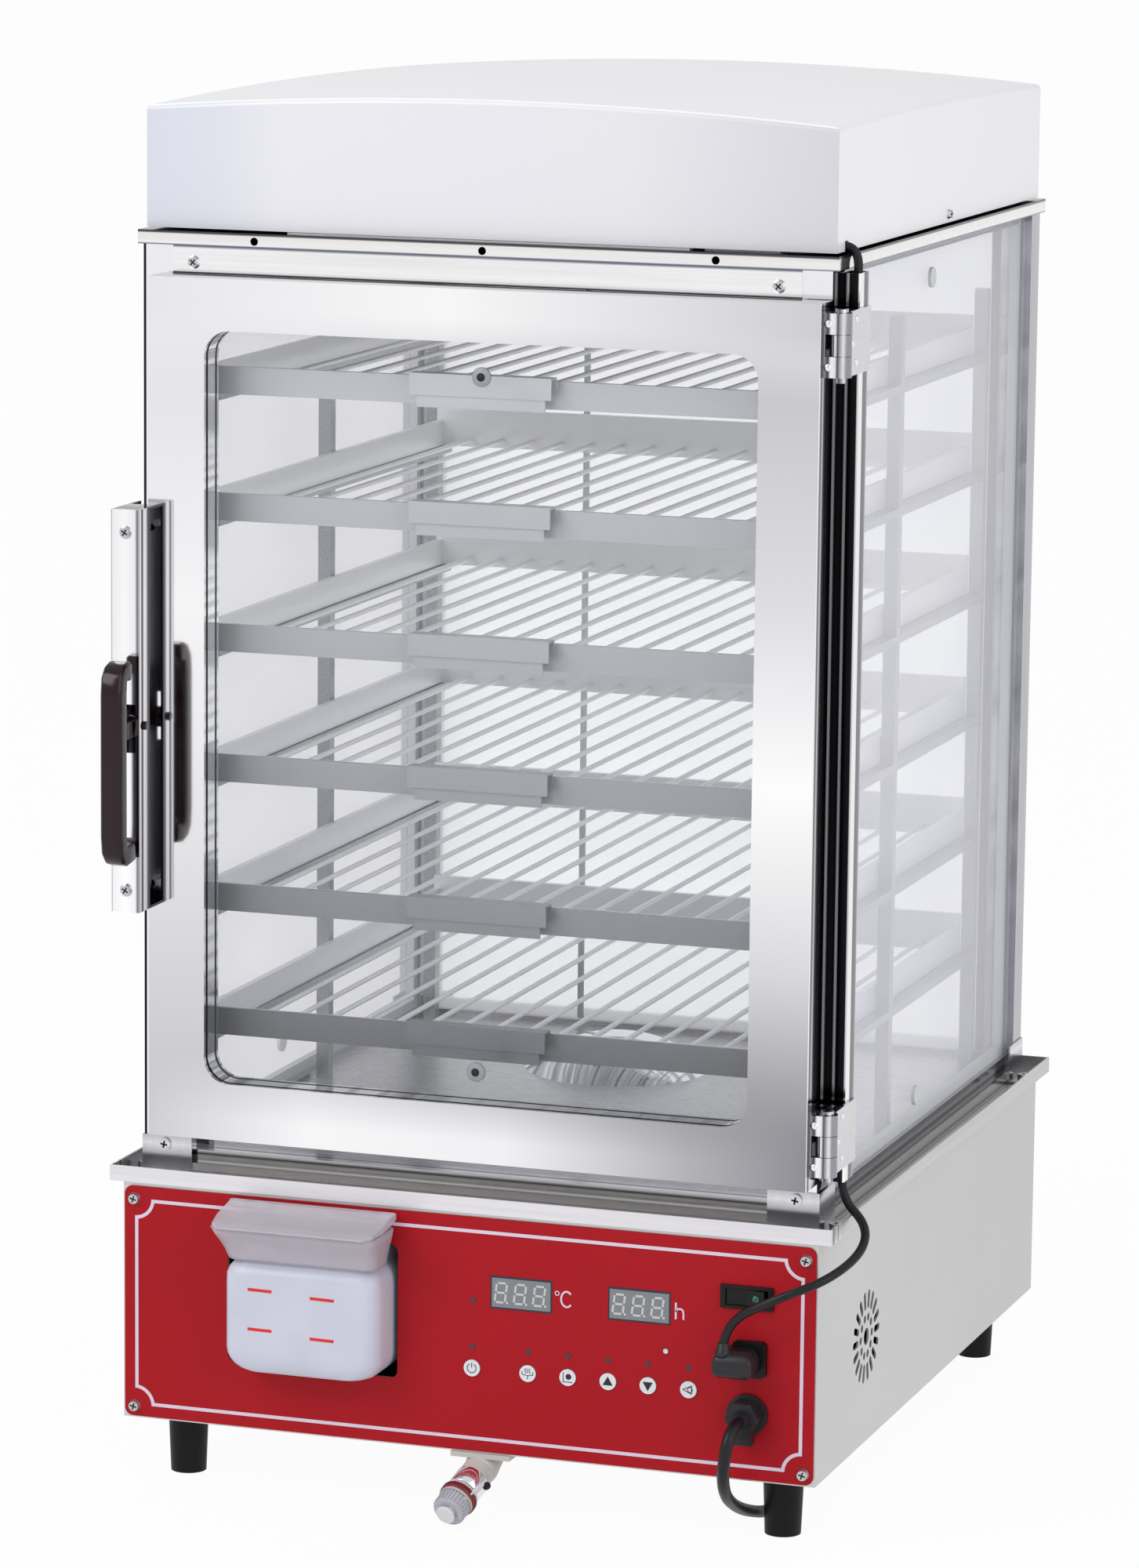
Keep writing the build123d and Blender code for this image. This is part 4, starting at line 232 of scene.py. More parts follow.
def paint_door():
    """The door's polished skin with painted reflections: bright above, darker towards the lower right, and
    banded on its right side face.
    """
    paint = Paint("Polished door steel", Metallic=1.0)
    cloud = paint.noise(3.0)
    # Painted reflections: the ramps below set the skin's tone by height and across the door
    high = along(paint.z + (cloud - 0.5) * 0.02, 240.0, 711.0)
    left = paint.ramp(high, "0 C9C9CD, 20 DADADD, 60 FCFCFD, 86 EDEDF1, 100 F4F4F7")
    right = paint.ramp(
        high, "0 96969B, 6 A6A6AB, 20 D9D9DC, 42 FFFFFF, 64 E4E4E8, 88 CFCFD4, 100 EFEFF2"
    )
    across = along(paint.x, -193.0, 206.0)
    low = paint.ramp(across, "0 CFCFD3, 25 F8F8F9, 55 F2F2F4, 82 B4B4B9, 100 909096")
    upper = paint.ramp(across, "0 EFEFF3, 45 FFFFFF, 80 E6E6EA, 100 D4D4D9")
    stiles = paint.mix(along(paint.x, -100.0, 100.0), left, right)
    shade = paint.mix(along(paint.z, 224.0, 262.0), low, stiles)
    shade = paint.mix(along(paint.z, 676.0, 694.0), shade, upper)
    # Painted reflections on the door's right side face: dark and bright bands from front to back
    side = paint.ramp(
        along(paint.y, -249.5, -227.5),
        "0 F4F4F6, 8 3A3A40, 18 4A4A50, 26 DCDCE0, 60 C4C4CA, 72 FFFFFF, 84 303034, 100 202024",
    )
    shade = paint.mix(paint.x > 205.6 * MM, shade, side)
    return paint.done(shade, cloud, 0.05, 0.11)


def paint_post():
    """Polished posts with painted dark reflections, near black where they face the dark gap beside the door
    and on the left front post's outer face, and painted shade that greys the rear posts.
    """
    paint = Paint("Polished post", Metallic=1.0)
    cloud = paint.noise(20.0, 4.0, 0.6, (1.0, 1.0, 0.05))
    # Painted dark reflections: the post faces beside the door's gap and the left front post's outer face
    gap = (paint.x > 205.0 * MM) * (paint.y < -204.0 * MM)
    left_edge_reflection = (paint.x < -204.4 * MM) * (paint.y < -200.0 * MM)
    dark = paint.mix(cloud, "1C1C20", "34343A")
    bright = paint.mix(cloud, "E9E9ED", "FBFBFD")
    shade = paint.mix((gap + left_edge_reflection).bounded(), bright, dark)
    # Painted shade: the rear posts are greyer
    shade = paint.mix(paint.y > 200.0 * MM, shade, paint.mix(cloud, "8F8F96", "C2C2C8"))
    return paint.done(shade, cloud, 0.06, 0.14)


def paint_duct():
    """Polished duct with painted reflections: a black front with a bright edge, and a grey side."""
    paint = Paint("Polished duct", Metallic=1.0)
    cloud = paint.noise(40.0, 4.0, 0.6, (1.0, 1.0, 0.05))
    # Painted reflections: dark and bright bands across the front, and on the side
    front = paint.ramp(
        along(paint.x, 206.0, 216.6),
        "0 2C2C30, 22 1A1A1E, 28 F0F0F2, 36 F0F0F2, 42 131316, 88 202024, 94 FFFFFF",
    )
    side = paint.ramp(
        along(paint.y, -210.0, -193.0), "0 FFFFFF, 40 FFFFFF, 50 4C4B53, 85 6A6971, 100 C8C8CC"
    )
    side = paint.mix(cloud * 0.25, side, "5C5B63")
    shade = paint.mix(paint.y < -209.5 * MM, side, front)
    return paint.done(shade, cloud, 0.08, 0.2)


def paint_reflection_bands(name, axis, start, end, stops, grain, roughness):
    """Polished or brushed steel with painted reflections as bands along one axis."""
    paint = Paint(name, Metallic=0.95)
    cloud = paint.noise(300.0, 3.0, 0.6, grain)
    broad = paint.noise(9.0, 3.0, 0.6)
    # Painted reflections: the bands' tone follows the place along the axis
    factor = (along(getattr(paint, axis), start, end) + (broad - 0.5) * 0.03).bounded()
    shade = paint.mix(cloud * 0.25, paint.ramp(factor, stops), "77767D")
    return paint.done(shade, cloud, roughness * 0.7, roughness * 1.3)


def paint_rail():
    """Polished lower rails with painted reflections: bands that run up the front face and on over the top."""
    paint = Paint("Polished lower rail", Metallic=0.9)
    cloud = paint.noise(300.0, 3.0, 0.6, (0.02, 1.0, 1.0))
    up = along(paint.z, 181.2, 197.2)
    back = along(paint.y, -224.5, -205.0)
    # Painted reflections: bright and dark bands up the front face and over the top
    bands = paint.ramp(
        (up + back) * 0.5 + (cloud - 0.5) * 0.02,
        "0 2A2A2C, 6 8F8D8C, 16 F0EEEC, 26 EDEBEA, 30 3A3A3C, 36 C9C7C6, 48 FBF9F8, "
        "53 2E2E30, 60 B9B9BC, 72 F2F0EE, 78 4A4A4D, 86 C4C4C8, 100 A8A8AE",
    )
    return paint.done(bands, cloud, 0.08, 0.2)


def paint_bracket():
    """Handle bracket: a painted bright front skin, with painted dark reflections down the webs beside it."""
    paint = Paint("Handle bracket steel", Metallic=1.0)
    cloud = paint.noise(30.0, 3.0, 0.6, (1.0, 1.0, 0.03))
    # Painted reflections: bright across the front, with dark bands down the webs
    front = paint.ramp(
        along(paint.x, -205.0, -188.0), "0 9A9AA0, 5 F4F4F7, 50 FFFFFF, 86 F2F2F6, 94 6A6A70, 100 B5B5BB"
    )
    web = paint.ramp(
        along(paint.y, -275.5, -259.5),
        "0 E8E8EC, 18 F6F6F8, 26 3A2A30, 38 6A5A60, 46 F2F2F5, 70 DADADF, 80 46464C, 100 1E1E22",
    )
    inner = paint.ramp(
        along(paint.y, -262.0, -234.5), "0 6A6A70, 30 C9C9CE, 60 4A4A50, 80 EDEDF0, 100 8A8A90"
    )
    shade = paint.mix(paint.y > -273.8 * MM, front, paint.mix(paint.x > -190.0 * MM, inner, web))
    return paint.done(shade, cloud, 0.07, 0.16)


def paint_tray():
    """Tray aluminium with painted shade: light rods and rails, lighter higher up, with front rails darker on
    the lower trays and towards their left ends.
    """
    paint = Paint("Brushed tray aluminium", Metallic=0.3)
    fine = paint.noise(900.0, 2.0, 0.6, (0.02, 1.0, 1.0))
    # Painted shade: lower down is darker, and the front rails darken towards their left ends
    high = along(paint.z, 255.0, 670.0)
    front = paint.ramp(high, "0 4E5158, 22 7E8188, 60 A9ACB2, 90 B9BCC2, 100 CDCFD5")
    start = paint.mix(along(paint.x, -175.0, -150.0), "85888E", "FFFFFF")
    front = paint.mix(0.55, front, start, "MULTIPLY")
    shade = paint.mix(paint.y < -209.0 * MM, paint.mix(high, "F0F2F6", "FFFFFF"), front)
    shade = paint.mix(fine * 0.12, shade, "A4A7AD")
    paint.bump(fine, 0.08)
    return paint.done(shade, fine, 0.24, 0.42)


def paint_cover():
    """White baked enamel with painted shade: bluish at the front's left, darker at its right, and a little
    greyer on the front than above.
    """
    paint = Paint("White enamel", Coat_Weight=0.25, Coat_Roughness=0.12)
    cloud = paint.noise(6.0)
    # Painted shade: the front's tone across its width, greyer than the top
    front = paint.ramp(
        along(paint.x, -206.0, 206.0), "0 D0D2DD, 10 D4D6E0, 20 E0DFE5, 70 DFDEE3, 100 CECDD3"
    )
    shade = paint.mix(paint.y < -219.2 * MM, paint.mix(cloud, "F6F5F9", "F0EFF4"), front)
    paint.bump(paint.noise(420.0, 2.0), 0.02)
    return paint.done(shade, cloud, 0.3, 0.4)


def paint_clear_plastic(name, colour, shade, clearness, roughness):
    """Milky or frosted plastic that lets some light straight through."""
    paint = Paint(name, Roughness=roughness)
    cloud = paint.noise(30.0)
    paint.surface(Base_Color=paint.mix(cloud, colour, shade))
    paint.bump(paint.noise(500.0, 2.0), 0.04)
    paint.through(paint.spread(cloud, clearness - 0.05, clearness + 0.05))
    return paint.material


# Meshes


def piece_from(name, shape, finish, body="base", smooth=True):
    """Put a mesh, or a bmesh's result, in the scene with a finish, riding on a body."""
    mesh = mesh_from(shape, name) if isinstance(shape, bmesh.types.BMesh) else shape
    piece = bpy.data.objects.new(name, mesh)
    bpy.context.scene.collection.objects.link(piece)
    mesh.materials.clear()
    mesh.materials.append(finishes()[finish])
    for polygon in mesh.polygons:
        polygon.use_smooth = smooth
    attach(piece, body)
    return piece


def mesh_from(bm, name):
    """A mesh from a bmesh, with its normals outwards."""
    bmesh.ops.recalc_face_normals(bm, faces=bm.faces)
    mesh = bpy.data.meshes.new(name)
    bm.to_mesh(mesh)
    bm.free()
    return mesh


def with_modifiers(piece):
    """A plain mesh of an object as its modifiers leave it."""
    bpy.context.view_layer.update()
    return bpy.data.meshes.new_from_object(piece.evaluated_get(bpy.context.evaluated_depsgraph_get()))


def wear(material, *names):
    """Give CAD nodes a material."""
    for name in names:
        mesh = NODES[name].data
        mesh.materials.clear()
        mesh.materials.append(material)


def route_curve(points, diameter, name):
    """A tube along one smooth NURBS line with a route's points as its control points."""
    curve = bpy.data.curves.new(name, "CURVE")
    curve.dimensions = "3D"
    spline = curve.splines.new("NURBS")
    spline.points.add(len(points) - 1)
    for point, place in zip(spline.points, points):
        point.co = (*place, 1.0)
    spline.order_u = 3
    spline.use_endpoint_u = True
    curve.resolution_u = 12
    curve.bevel_depth = diameter / 2
    curve.bevel_resolution = 4
    curve.use_fill_caps = True
    return curve


def shell(bm, rings):
    """Faces between rings of points, with both ends closed."""
    made = [[bm.verts.new(mm(*p)) for p in ring] for ring in rings]
    for a, b in zip(made, made[1:]):
        for i, _ in enumerate(a):
            j = (i + 1) % len(a)
            bm.faces.new((a[i], a[j], b[j], b[i]))
    bm.faces.new(list(reversed(made[0])))
    bm.faces.new(made[-1])


def flat_shape(bm, outline, y, thick=0.15):
    """A flat shape in front of a face: an outline in X and Z, millimetres, whose back is at y."""
    shell(bm, [[(x, depth, z) for x, z in outline] for depth in (y - thick, y)])


def round_shape(x, z, radius, sides, start=0.0, end=360.0):
    """Points of a circle, or of a part of it, in X and Z."""
    count = sides + 1 if end - start < 360.0 else sides
    angles = [math.radians(start + (end - start) * i / sides) for i in range(count)]
    return [(x + radius * math.cos(a), z + radius * math.sin(a)) for a in angles]


def stroke(bm, line, width, y, closed=False, thick=0.15):
    """A printed line of one width through points in X and Z."""
    points = [Vector(p) for p in line]
    count = len(points)
    sides = []
    for i, point in enumerate(points):
        before = points[i - 1] if closed or i else point
        after = points[(i + 1) % count] if closed or i < count - 1 else point
        steps = [step.normalized() for step in (point - before, after - point) if step.length]
        way = sum(steps, Vector((0, 0))).normalized()
        reach = Vector((-way.y, way.x)) * width / 2 / max(SHARPEST, way.dot(steps[0]))
        sides.append((point + reach, point - reach))
    for i in range(count if closed else count - 1):
        a, b = sides[i], sides[(i + 1) % count]
        flat_shape(bm, [a[0], b[0], b[1], a[1]], y, thick)


def rounded_box_ring(xs, ys, z, radius, steps=6):
    """A rounded rectangle at one height."""
    points = []
    left, right, front, rear = xs[0] + radius, xs[1] - radius, ys[0] + radius, ys[1] - radius
    for x, y, start in ((right, rear, 0), (left, rear, 90), (left, front, 180), (right, front, 270)):
        for i in range(steps + 1):
            angle = math.radians(start + 90 * i / steps)
            points.append((x + radius * math.cos(angle), y + radius * math.sin(angle), z))
    return points


def turned(bm, origin, axis, profile, sides):
    """A closed shape of revolution: (distance along the axis, radius) pairs from its start."""
    axis = Vector(axis).normalized()
    across = axis.orthogonal().normalized()
    upward = axis.cross(across)
    angles = [2 * math.pi * i / sides for i in range(sides)]
    rings = []
    for at, radius in profile:
        centre = Vector(origin) + axis * at
        rings.append([centre + across * radius * math.cos(a) + upward * radius * math.sin(a) for a in angles])
    shell(bm, rings)


def scatter(name, shape, spots, finish, body="base"):
    """One mesh of a shape repeated at places, each with its own turn, made by geometry nodes."""
    tree = bpy.data.node_groups.new(name, "GeometryNodeTree")
    for label, kind, way in (
        ("Geometry", "Geometry", "INPUT"), ("Shape", "Object", "INPUT"), ("Geometry", "Geometry", "OUTPUT"),
    ):
        tree.interface.new_socket(label, in_out=way, socket_type=f"NodeSocket{kind}")
    entry, leave, info, turn, euler, copies, solid = (
        tree.nodes.new(kind)
        for kind in (
            "NodeGroupInput", "NodeGroupOutput", "GeometryNodeObjectInfo", "GeometryNodeInputNamedAttribute",
            "FunctionNodeEulerToRotation", "GeometryNodeInstanceOnPoints", "GeometryNodeRealizeInstances",
        )
    )
    turn.data_type = "FLOAT_VECTOR"
    turn.inputs["Name"].default_value = "turn"
    for source, target in (
        (entry.outputs["Shape"], info.inputs["Object"]),
        (entry.outputs["Geometry"], copies.inputs["Points"]),
        (info.outputs["Geometry"], copies.inputs["Instance"]),
        (turn.outputs["Attribute"], euler.inputs[0]),
        (euler.outputs[0], copies.inputs["Rotation"]),
        (copies.outputs[0], solid.inputs[0]),
        (solid.outputs[0], leave.inputs[0]),
    ):
        tree.links.new(source, target)
    mesh = bpy.data.meshes.new(name)
    mesh.from_pydata([mm(*place) for place, _ in spots], [], [])
    turns = mesh.attributes.new("turn", "FLOAT_VECTOR", "POINT")
    for item, (_, angles) in zip(turns.data, spots):
        item.vector = [math.radians(a) for a in angles]
    pattern = bpy.data.objects.new(f"{name}_shape", shape)
    carrier = bpy.data.objects.new(name, mesh)
    for each in (pattern, carrier):
        bpy.context.scene.collection.objects.link(each)
    modifier = carrier.modifiers.new("Repeat", "NODES")
    modifier.node_group = tree
    modifier[tree.interface.items_tree["Shape"].identifier] = pattern
    carrier.update_tag()
    result = with_modifiers(carrier)
    bpy.data.objects.remove(carrier)
    bpy.data.objects.remove(pattern)
    piece_from(name, result, finish, body)


# Values


class CabinetValues(bpy.types.PropertyGroup):
    """Sizes and colours that a user would change."""

    red: bpy.props.StringProperty(
        name="Panel red", description="Display colour of the front panel", default="AE1420"
    )
    print_width: bpy.props.FloatProperty(
        name="Border width", description="Width of the printed border", default=2.0 * MM,
        subtype="DISTANCE", unit="LENGTH",
    )
    floor_reach: bpy.props.FloatProperty(
        name="Floor reach", description="Half width of the studio floor", default=30.0,
        subtype="DISTANCE", unit="LENGTH",
    )
    soft_light: bpy.props.FloatProperty(
        name="Soft light", description="Strength of the light from all round", default=0.75
    )


def values():
    """The current sizes and colours."""
    return bpy.context.scene.cabinet_values


MATERIALS = {}

# Steel finishes whose bands are painted reflections: name, axis, start and end of the bands in millimetres,
# the bands' stops, the grain's stretch and roughness
REFLECTION_BANDS = {
    "strip": (
        "Polished head strip", "z", 710.9, 727.0,
        "0 2A2A2E, 5 3A3A40, 9 FFFFFF, 90 FFFFFF, 96 8F8F9C, 100 6A6A78", (0.02, 1.0, 1.0), 0.08,
    ),
    "trim": (
        "Polished trim", "z", 727.0, 735.1,
        "0 55556A, 6 9A9AA6, 12 FFFFFF, 78 FBF6F4, 86 5A5A62, 100 28282C", (0.02, 1.0, 1.0), 0.08,
    ),
    "chrome": (
        "Chromed hinge", "x", 205.0, 219.0,
        "0 E8E8EC, 16 8A8A90, 30 26262A, 42 FFFFFF, 58 F4F4F6, 68 3A3A40, 80 B8B8BE, 90 F4F4F6, 100 9C9CA2",
        (1.0, 1.0, 1.0), 0.10,
    ),
    "angle": (
        "Corner bracket steel", "z", 181.0, 205.0,
        "0 55555A, 15 D6D6DA, 50 A4A4AA, 80 E6E6EA, 100 C4C4CA", (1.0, 1.0, 0.3), 0.16,
    ),
    "tray_rim": (
        "Brushed rim", "y", -244.0, -222.0,
        "0 F0EEF2, 10 FFFFFF, 17 5A5A5C, 24 D9D7D5, 50 FFFFFF, 60 6A6A6C, 66 F4F2F0, 100 D0CECD",
        (0.02, 0.02, 1.0), 0.3,
    ),
}
MOULDED = {
    # Painted shade: near black where the screws' cross recesses are; the glazing buttons' centres wear it too
    "recess": ("Screw recess", "0E0E10", "18181B", 0.6),
    "rubber": ("Black rubber", "08080A", "0F0F12", 0.45, 0.12, 700.0, 0.2),
    "black": ("Black plastic", "0A0A0C", "141417", 0.35, 0.12, 700.0, 0.25),
    "nut": ("Worn black nut", "1A1A1D", "303034", 0.34, 0.1, 300.0, 0.3),
    "cable": ("Black cable sheath", "101114", "1A1B1F", 0.35, 0.05, 700.0, 0.3),
    "grey": ("Grey fitting plastic", "C9C6C2", "B9B6B2", 0.35, 0.04),
    "white": ("White plastic", "E3E4E8", "D4D6DC", 0.35, 0.04),
    "cap": ("Pale cap plastic", "C3C5CE", "B2B4BE", 0.32, 0.04),
    "silicone": ("Pale silicone", "D9DCDC", "C8CCCD", 0.45, 0.05),
    "grommet": ("Grey rubber button", "9DA0A6", "85888E", 0.45, 0.05),
    "bezel": ("Display bezel", "1E2030", "282A3A", 0.4),
    "unlit": ("Unlit lamp", "4A3038", "3A2A30", 0.3, 0.03),
    "mark": ("Black symbol", "141416", "1C1C1F", 0.5),
    "ring": ("Red knurled ring", "8E2A36", "6E1E28", 0.3, 0.05),
}
ENAMEL = {
    "lever": ("Burgundy plastic", "220612", "16030A", 0.16, 0.02, 0.1, 0.3),
    "print": ("Lilac print", "DCD0E0", "D2C6D8", 0.45, 0.03),
    "red_print": ("Red print", "E0281F", "CF1F18", 0.45, 0.03),
    "digit": ("Display segment", "C9CCCC", "B9BCBC", 0.4, 0.02),
    "window": ("Display window", "7E8287", "74787D", 0.25, 0.02, 0.3),
    "green": ("Green lamp", "1C6A4A", "124A34", 0.15, 0.02, 0.5),
    "board": ("Circuit board", "1E6B3A", "185A30", 0.35, 0.05),
}


def finishes():
    """All finishes, made once."""
    if MATERIALS:
        return MATERIALS
    for paint, rows in ((paint_reflection_bands, REFLECTION_BANDS), (paint_moulded, MOULDED), (paint_enamel, ENAMEL)):
        MATERIALS.update({key: paint(*row) for key, row in rows.items()})
    MATERIALS.update(
        polished=paint_polished("Polished steel", "F6F6F8", 0.08),
        screw=paint_polished("Steel screw", "9C9CA2", 0.24),
        door_steel=paint_door(),
        post=paint_post(),
        duct=paint_duct(),
        bracket=paint_bracket(),
        rail=paint_rail(),
        body_sheet=paint_brushed("Brushed body sheet", "DEDEDE", "C4C4C4", (1.0, 1.0, 0.02), 0.45),
        floor_sheet=paint_brushed("Brushed floor sheet", "C6C6CA", "A4A4A8", (0.03, 1.0, 1.0), 0.28),
        rod=paint_brushed("Tray runner", "C4C6CA", "6C6E74", (1.0, 0.02, 1.0), 0.30),
        aluminium=paint_tray(),
        red=paint_enamel("Red enamel", values().red, "A00F1B", 0.45, 0.04, 0.0, 0.16),
        cover=paint_cover(),
        bottle=paint_clear_plastic("Milky bottle", "D3D6E6", "CACDDD", 0.06, 0.32),
        lid=paint_clear_plastic("Frosted lid", "D9D3DE", "CCC5D0", 0.42, 0.3),
        glass=paint_glass("Door pane", "F8FAFC", 0.982, 0.03, 0.006),
        # The side and rear panes carry a painted glow
        side_pane=paint_glass("Side pane", "DADAE8", 0.80, 0.25, 0.02, 0.14),
        frosted=paint_glass("Frosted pane", "F6F8FC", 0.72, 0.35, 0.05, 0.7, 210.0),
    )
    return MATERIALS


WORN = {
    "body_sheet": "base_body bottom_plate boiler_pan",
    "tray_rim": "base_tray",
    "rail": "bottom_frame",
    "floor_sheet": "cabinet_floor",
    "red": "front_panel",
    "cover": "top_cover cover_lamp",
    "post": "corner_posts",
    "strip": "head_strip",
    "trim": "top_trim",
    "duct": "cable_duct",
    "bracket": "handle_bracket",
    "angle": "corner_brackets",
    "polished": "steam_diffuser latch_striker heater",
    "door_steel": "door_frame",
    "chrome": "fixed_hinges door_hinge_leaves",
    "screw": "panel_screws handle_screws",
    "glass": "door_glass",
    "side_pane": "side_glass",
    "frosted": "rear_glass",
    "silicone": "glass_seals door_gasket glass_grommets",
    "rubber": "feet",
    "black": "rocker_housing rocker power_inlet mains_plug",
    "nut": "lamp_connector cord_gland",
    "board": "control_board",
    "grey": "drain_valve",
    "cap": "drain_cap",
    "unlit": "indicator_lights",
    "bezel": "displays",
    "rod": "shelf_racks",
    "lever": "latch_lever",
    "bottle": "filler_bottle",
    "lid": "filler_lid",
}


# Places and sizes, in millimetres

PANEL_Y = -243.0

BORDER_X = 204.4
BORDER_Z = (45.7, 170.3)
NOTCH_R = 10.3

DISPLAY_XS = (35.05, 106.35)
DISPLAY_Z = 134.6
DISPLAY_HALF = (17.8, 8.6)
DISPLAY_T = 0.3
DIGIT_PITCH = 11.6
DIGIT_SHIFT = -0.7
DIGIT_W = 6.2
DIGIT_H = 11.4
DIGIT_LINE = 1.25
DIGIT_SLANT = 0.12
DIGIT_T = 0.1

BUTTONS = ("power", "steam", "set", "up", "down", "view")
BUTTON_XS = (5.5, 39.5, 63.8, 88.1, 112.2, 136.5)
BUTTON_Y = -243.8
BUTTON_Z = 88.4
RESET_PLACE = (122.5, 109.6)
RESET_Y = -243.2

LAMP_ROUTE = [
    (172.0, -201.5, 739.1), (196.0, -201.5, 739.1), (212.9, -201.5, 739.1), (212.9, -201.5, 716.0),
    (212.9, -201.5, 460.0), (212.9, -201.5, 225.0), (212.9, -201.5, 198.0), (230.0, -206.0, 184.0),
    (232.0, -224.0, 172.0), (220.0, -254.0, 162.0), (194.0, -265.0, 152.0),
    (162.0, -260.0, 134.0), (162.0, -260.0, 117.7),
]
LAMP_D = 5.2
PLUG_X = (156.0, 180.0)
PLUG_Y = (-265.4, -246.6)

MAINS_ROUTE = [
    (172.0, -262.0, 77.5), (172.0, -280.0, 77.5), (167.0, -278.0, 42.0), (163.5, -232.0, 17.0),
    (171.5, -186.0, 3.55), (160.0, -130.0, 3.55), (135.0, -60.0, 3.55), (128.0, 20.0, 3.55),
    (133.0, 100.0, 3.55), (148.0, 180.0, 3.55), (162.0, 262.0, 3.55),
]
MAINS_D = 7.1
COIL_CENTRE = (118.0, 312.0)
COIL_MEAN_D = 75.1
COIL_TURNS = 3.5
COIL_PITCH = 7.9
COIL_LIFT = 7.8
COIL_STEPS = 24
# How near the coil comes to its middle turn, and how long it takes to climb a layer, in turns
COIL_LEAST = 0.15
CLIMB_TURNS = 0.5
LEAD_STEP = 11.0

BOTTLE_X = -91.5
BOTTLE_HALF = 48.0
BOTTLE_Y = (-270.0, -131.0)
BOTTLE_Z = 79.0
BOTTLE_FOOT_R = 14.0
BOTTLE_FRONT_R = 6.0
BOTTLE_CORNER_R = 11.0
SHOULDER_R = 10.0
SPOUT_Z = 92.0
LID_HALF = 51.0
LID_Y = -246.0
LID_DEPTH = 41.0
LID_PIN = (-248.0, 174.6)
MARK_HALF = 7.4

LEVER_X = -194.0
PIVOT = (-267.5, 455.0)
NECK_X = (LEVER_X - 2.9, LEVER_X + 2.9)
NECK_Y = (-297.0, -264.0)
NECK_Z = (449.0, 449.5, 458.5, 459.0)
ARM_X = (-197.0, -194.5)
ARM_Y = (-267.0, -228.6)
ARM_Z = (451.0, 459.0)
GRIP_MIDDLE = (-285.0, 436.0)

HEAD_Y = -245.2
RECESS_HALF = (2.1, 0.45)

BEAD_X = -83.0
GLAZING_Z = (198.0, 726.0)
GLAZING_BUTTONS = ((8.0, 661.9), (8.0, 263.9))

DRAIN_START = Vector((10.0, -238.0, 28.0))
DRAIN_END = Vector((4.2, -266.6, 14.5))
STRAP_STEPS = ((0, 0, 0), (6.0, 2.0, 5.0), (12.5, 13.0, 10.5), (15.0, 23.0, 14.5))
STRAP_HALF = (2.3, 0.8)
RING_R = 10.8
RING_RIBS = 36

# The camera and the lamps: metres and radians, with the focal length in pixels
CAMERA_PLACE = (1.17056, -3.52155, 1.03579)
CAMERA_AZIMUTH = -0.32634
CAMERA_ELEVATION = -0.17228
CAMERA_ROLL = 0.01065
FOCAL_PIXELS = 7946.37
IMAGE_HEIGHT = 2000.0
SENSOR = 36.0
LAMP_TARGET = (0, 0, 0.4)
PANES_SEEN_THROUGH = 48


# Operators


class CABINET_OT_metal(bpy.types.Operator):
    """Finish the metal, glass and rubber of the frame"""

    bl_idname = "cabinet.metal"
    bl_label = "Finish the frame"

    def execute(self, context):
        kit = finishes()
        for finish, names in WORN.items():
            wear(kit[finish], *names.split())
        for number in range(1, 7):
            wear(kit["aluminium"], f"tray_{number}")
        for key in BUTTONS:
            wear(kit["white"], f"button_{key}")
        return {"FINISHED"}


def coil_point(turn):
    """A point of the coil behind the cabinet: in on the floor, out on the layer above."""
    middle = COIL_TURNS / 2
    inner = COIL_MEAN_D / 2 - COIL_PITCH * middle / 2
    radius = inner + COIL_PITCH * max(COIL_LEAST, abs(turn - middle))
    rise = max(0.0, min(1.0, (turn - middle) / CLIMB_TURNS + 0.5))
    angle = 2 * math.pi * turn
    control = radius / ((6 + 2 * math.cos(2 * math.pi / COIL_STEPS)) / 8)
    return (
        COIL_CENTRE[0] + math.cos(angle) * control,
        COIL_CENTRE[1] + math.sin(angle) * control,
        MAINS_D / 2 + COIL_LIFT * rise,
    )


def lay_cord(context, name, route, diameter, nodes):
    """Make one cord along its route, in place of the CAD nodes it stands for."""
    curve = route_curve([mm(*p) for p in route], diameter * MM, name)
    lead = bpy.data.objects.new(name, curve)
    context.scene.collection.objects.link(lead)
    curve.materials.append(finishes()["cable"])
    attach(lead, "base")
    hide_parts(*nodes)


class CABINET_OT_cords(bpy.types.Operator):
    """Lay the mains cord and the lamp's cable"""

    bl_idname = "cabinet.cords"
    bl_label = "Lay the cords"

    def execute(self, context):
        coil = [coil_point(i / COIL_STEPS) for i in range(int(COIL_TURNS * COIL_STEPS) + 1)]
        last = Vector(coil[-1])
        way = (last - Vector(coil[-2])).normalized()
        mains = MAINS_ROUTE + coil + [tuple(last + way * LEAD_STEP * i) for i in (1, 2)]
        lay_cord(context, "lamp_lead", LAMP_ROUTE, LAMP_D, ("lamp_cable",))
        lay_cord(
            context, "mains_lead", mains, MAINS_D, ("mains_cord", "mains_cord_coil"),
        )
        return {"FINISHED"}


def notched_ring(inset):
    """The border's line: a rectangle with a concave quarter circle cut out of each corner."""
    low, high = BORDER_Z
    radius = NOTCH_R + inset
    reach = math.degrees(math.asin(inset / radius))
    corners = ((BORDER_X, high, 180), (BORDER_X, low, 90), (-BORDER_X, low, 0), (-BORDER_X, high, 270))
    line = []
    for x, z, start in corners:
        line.extend(round_shape(x, z, radius, 10, start + reach, start + 90 - reach))
    return line


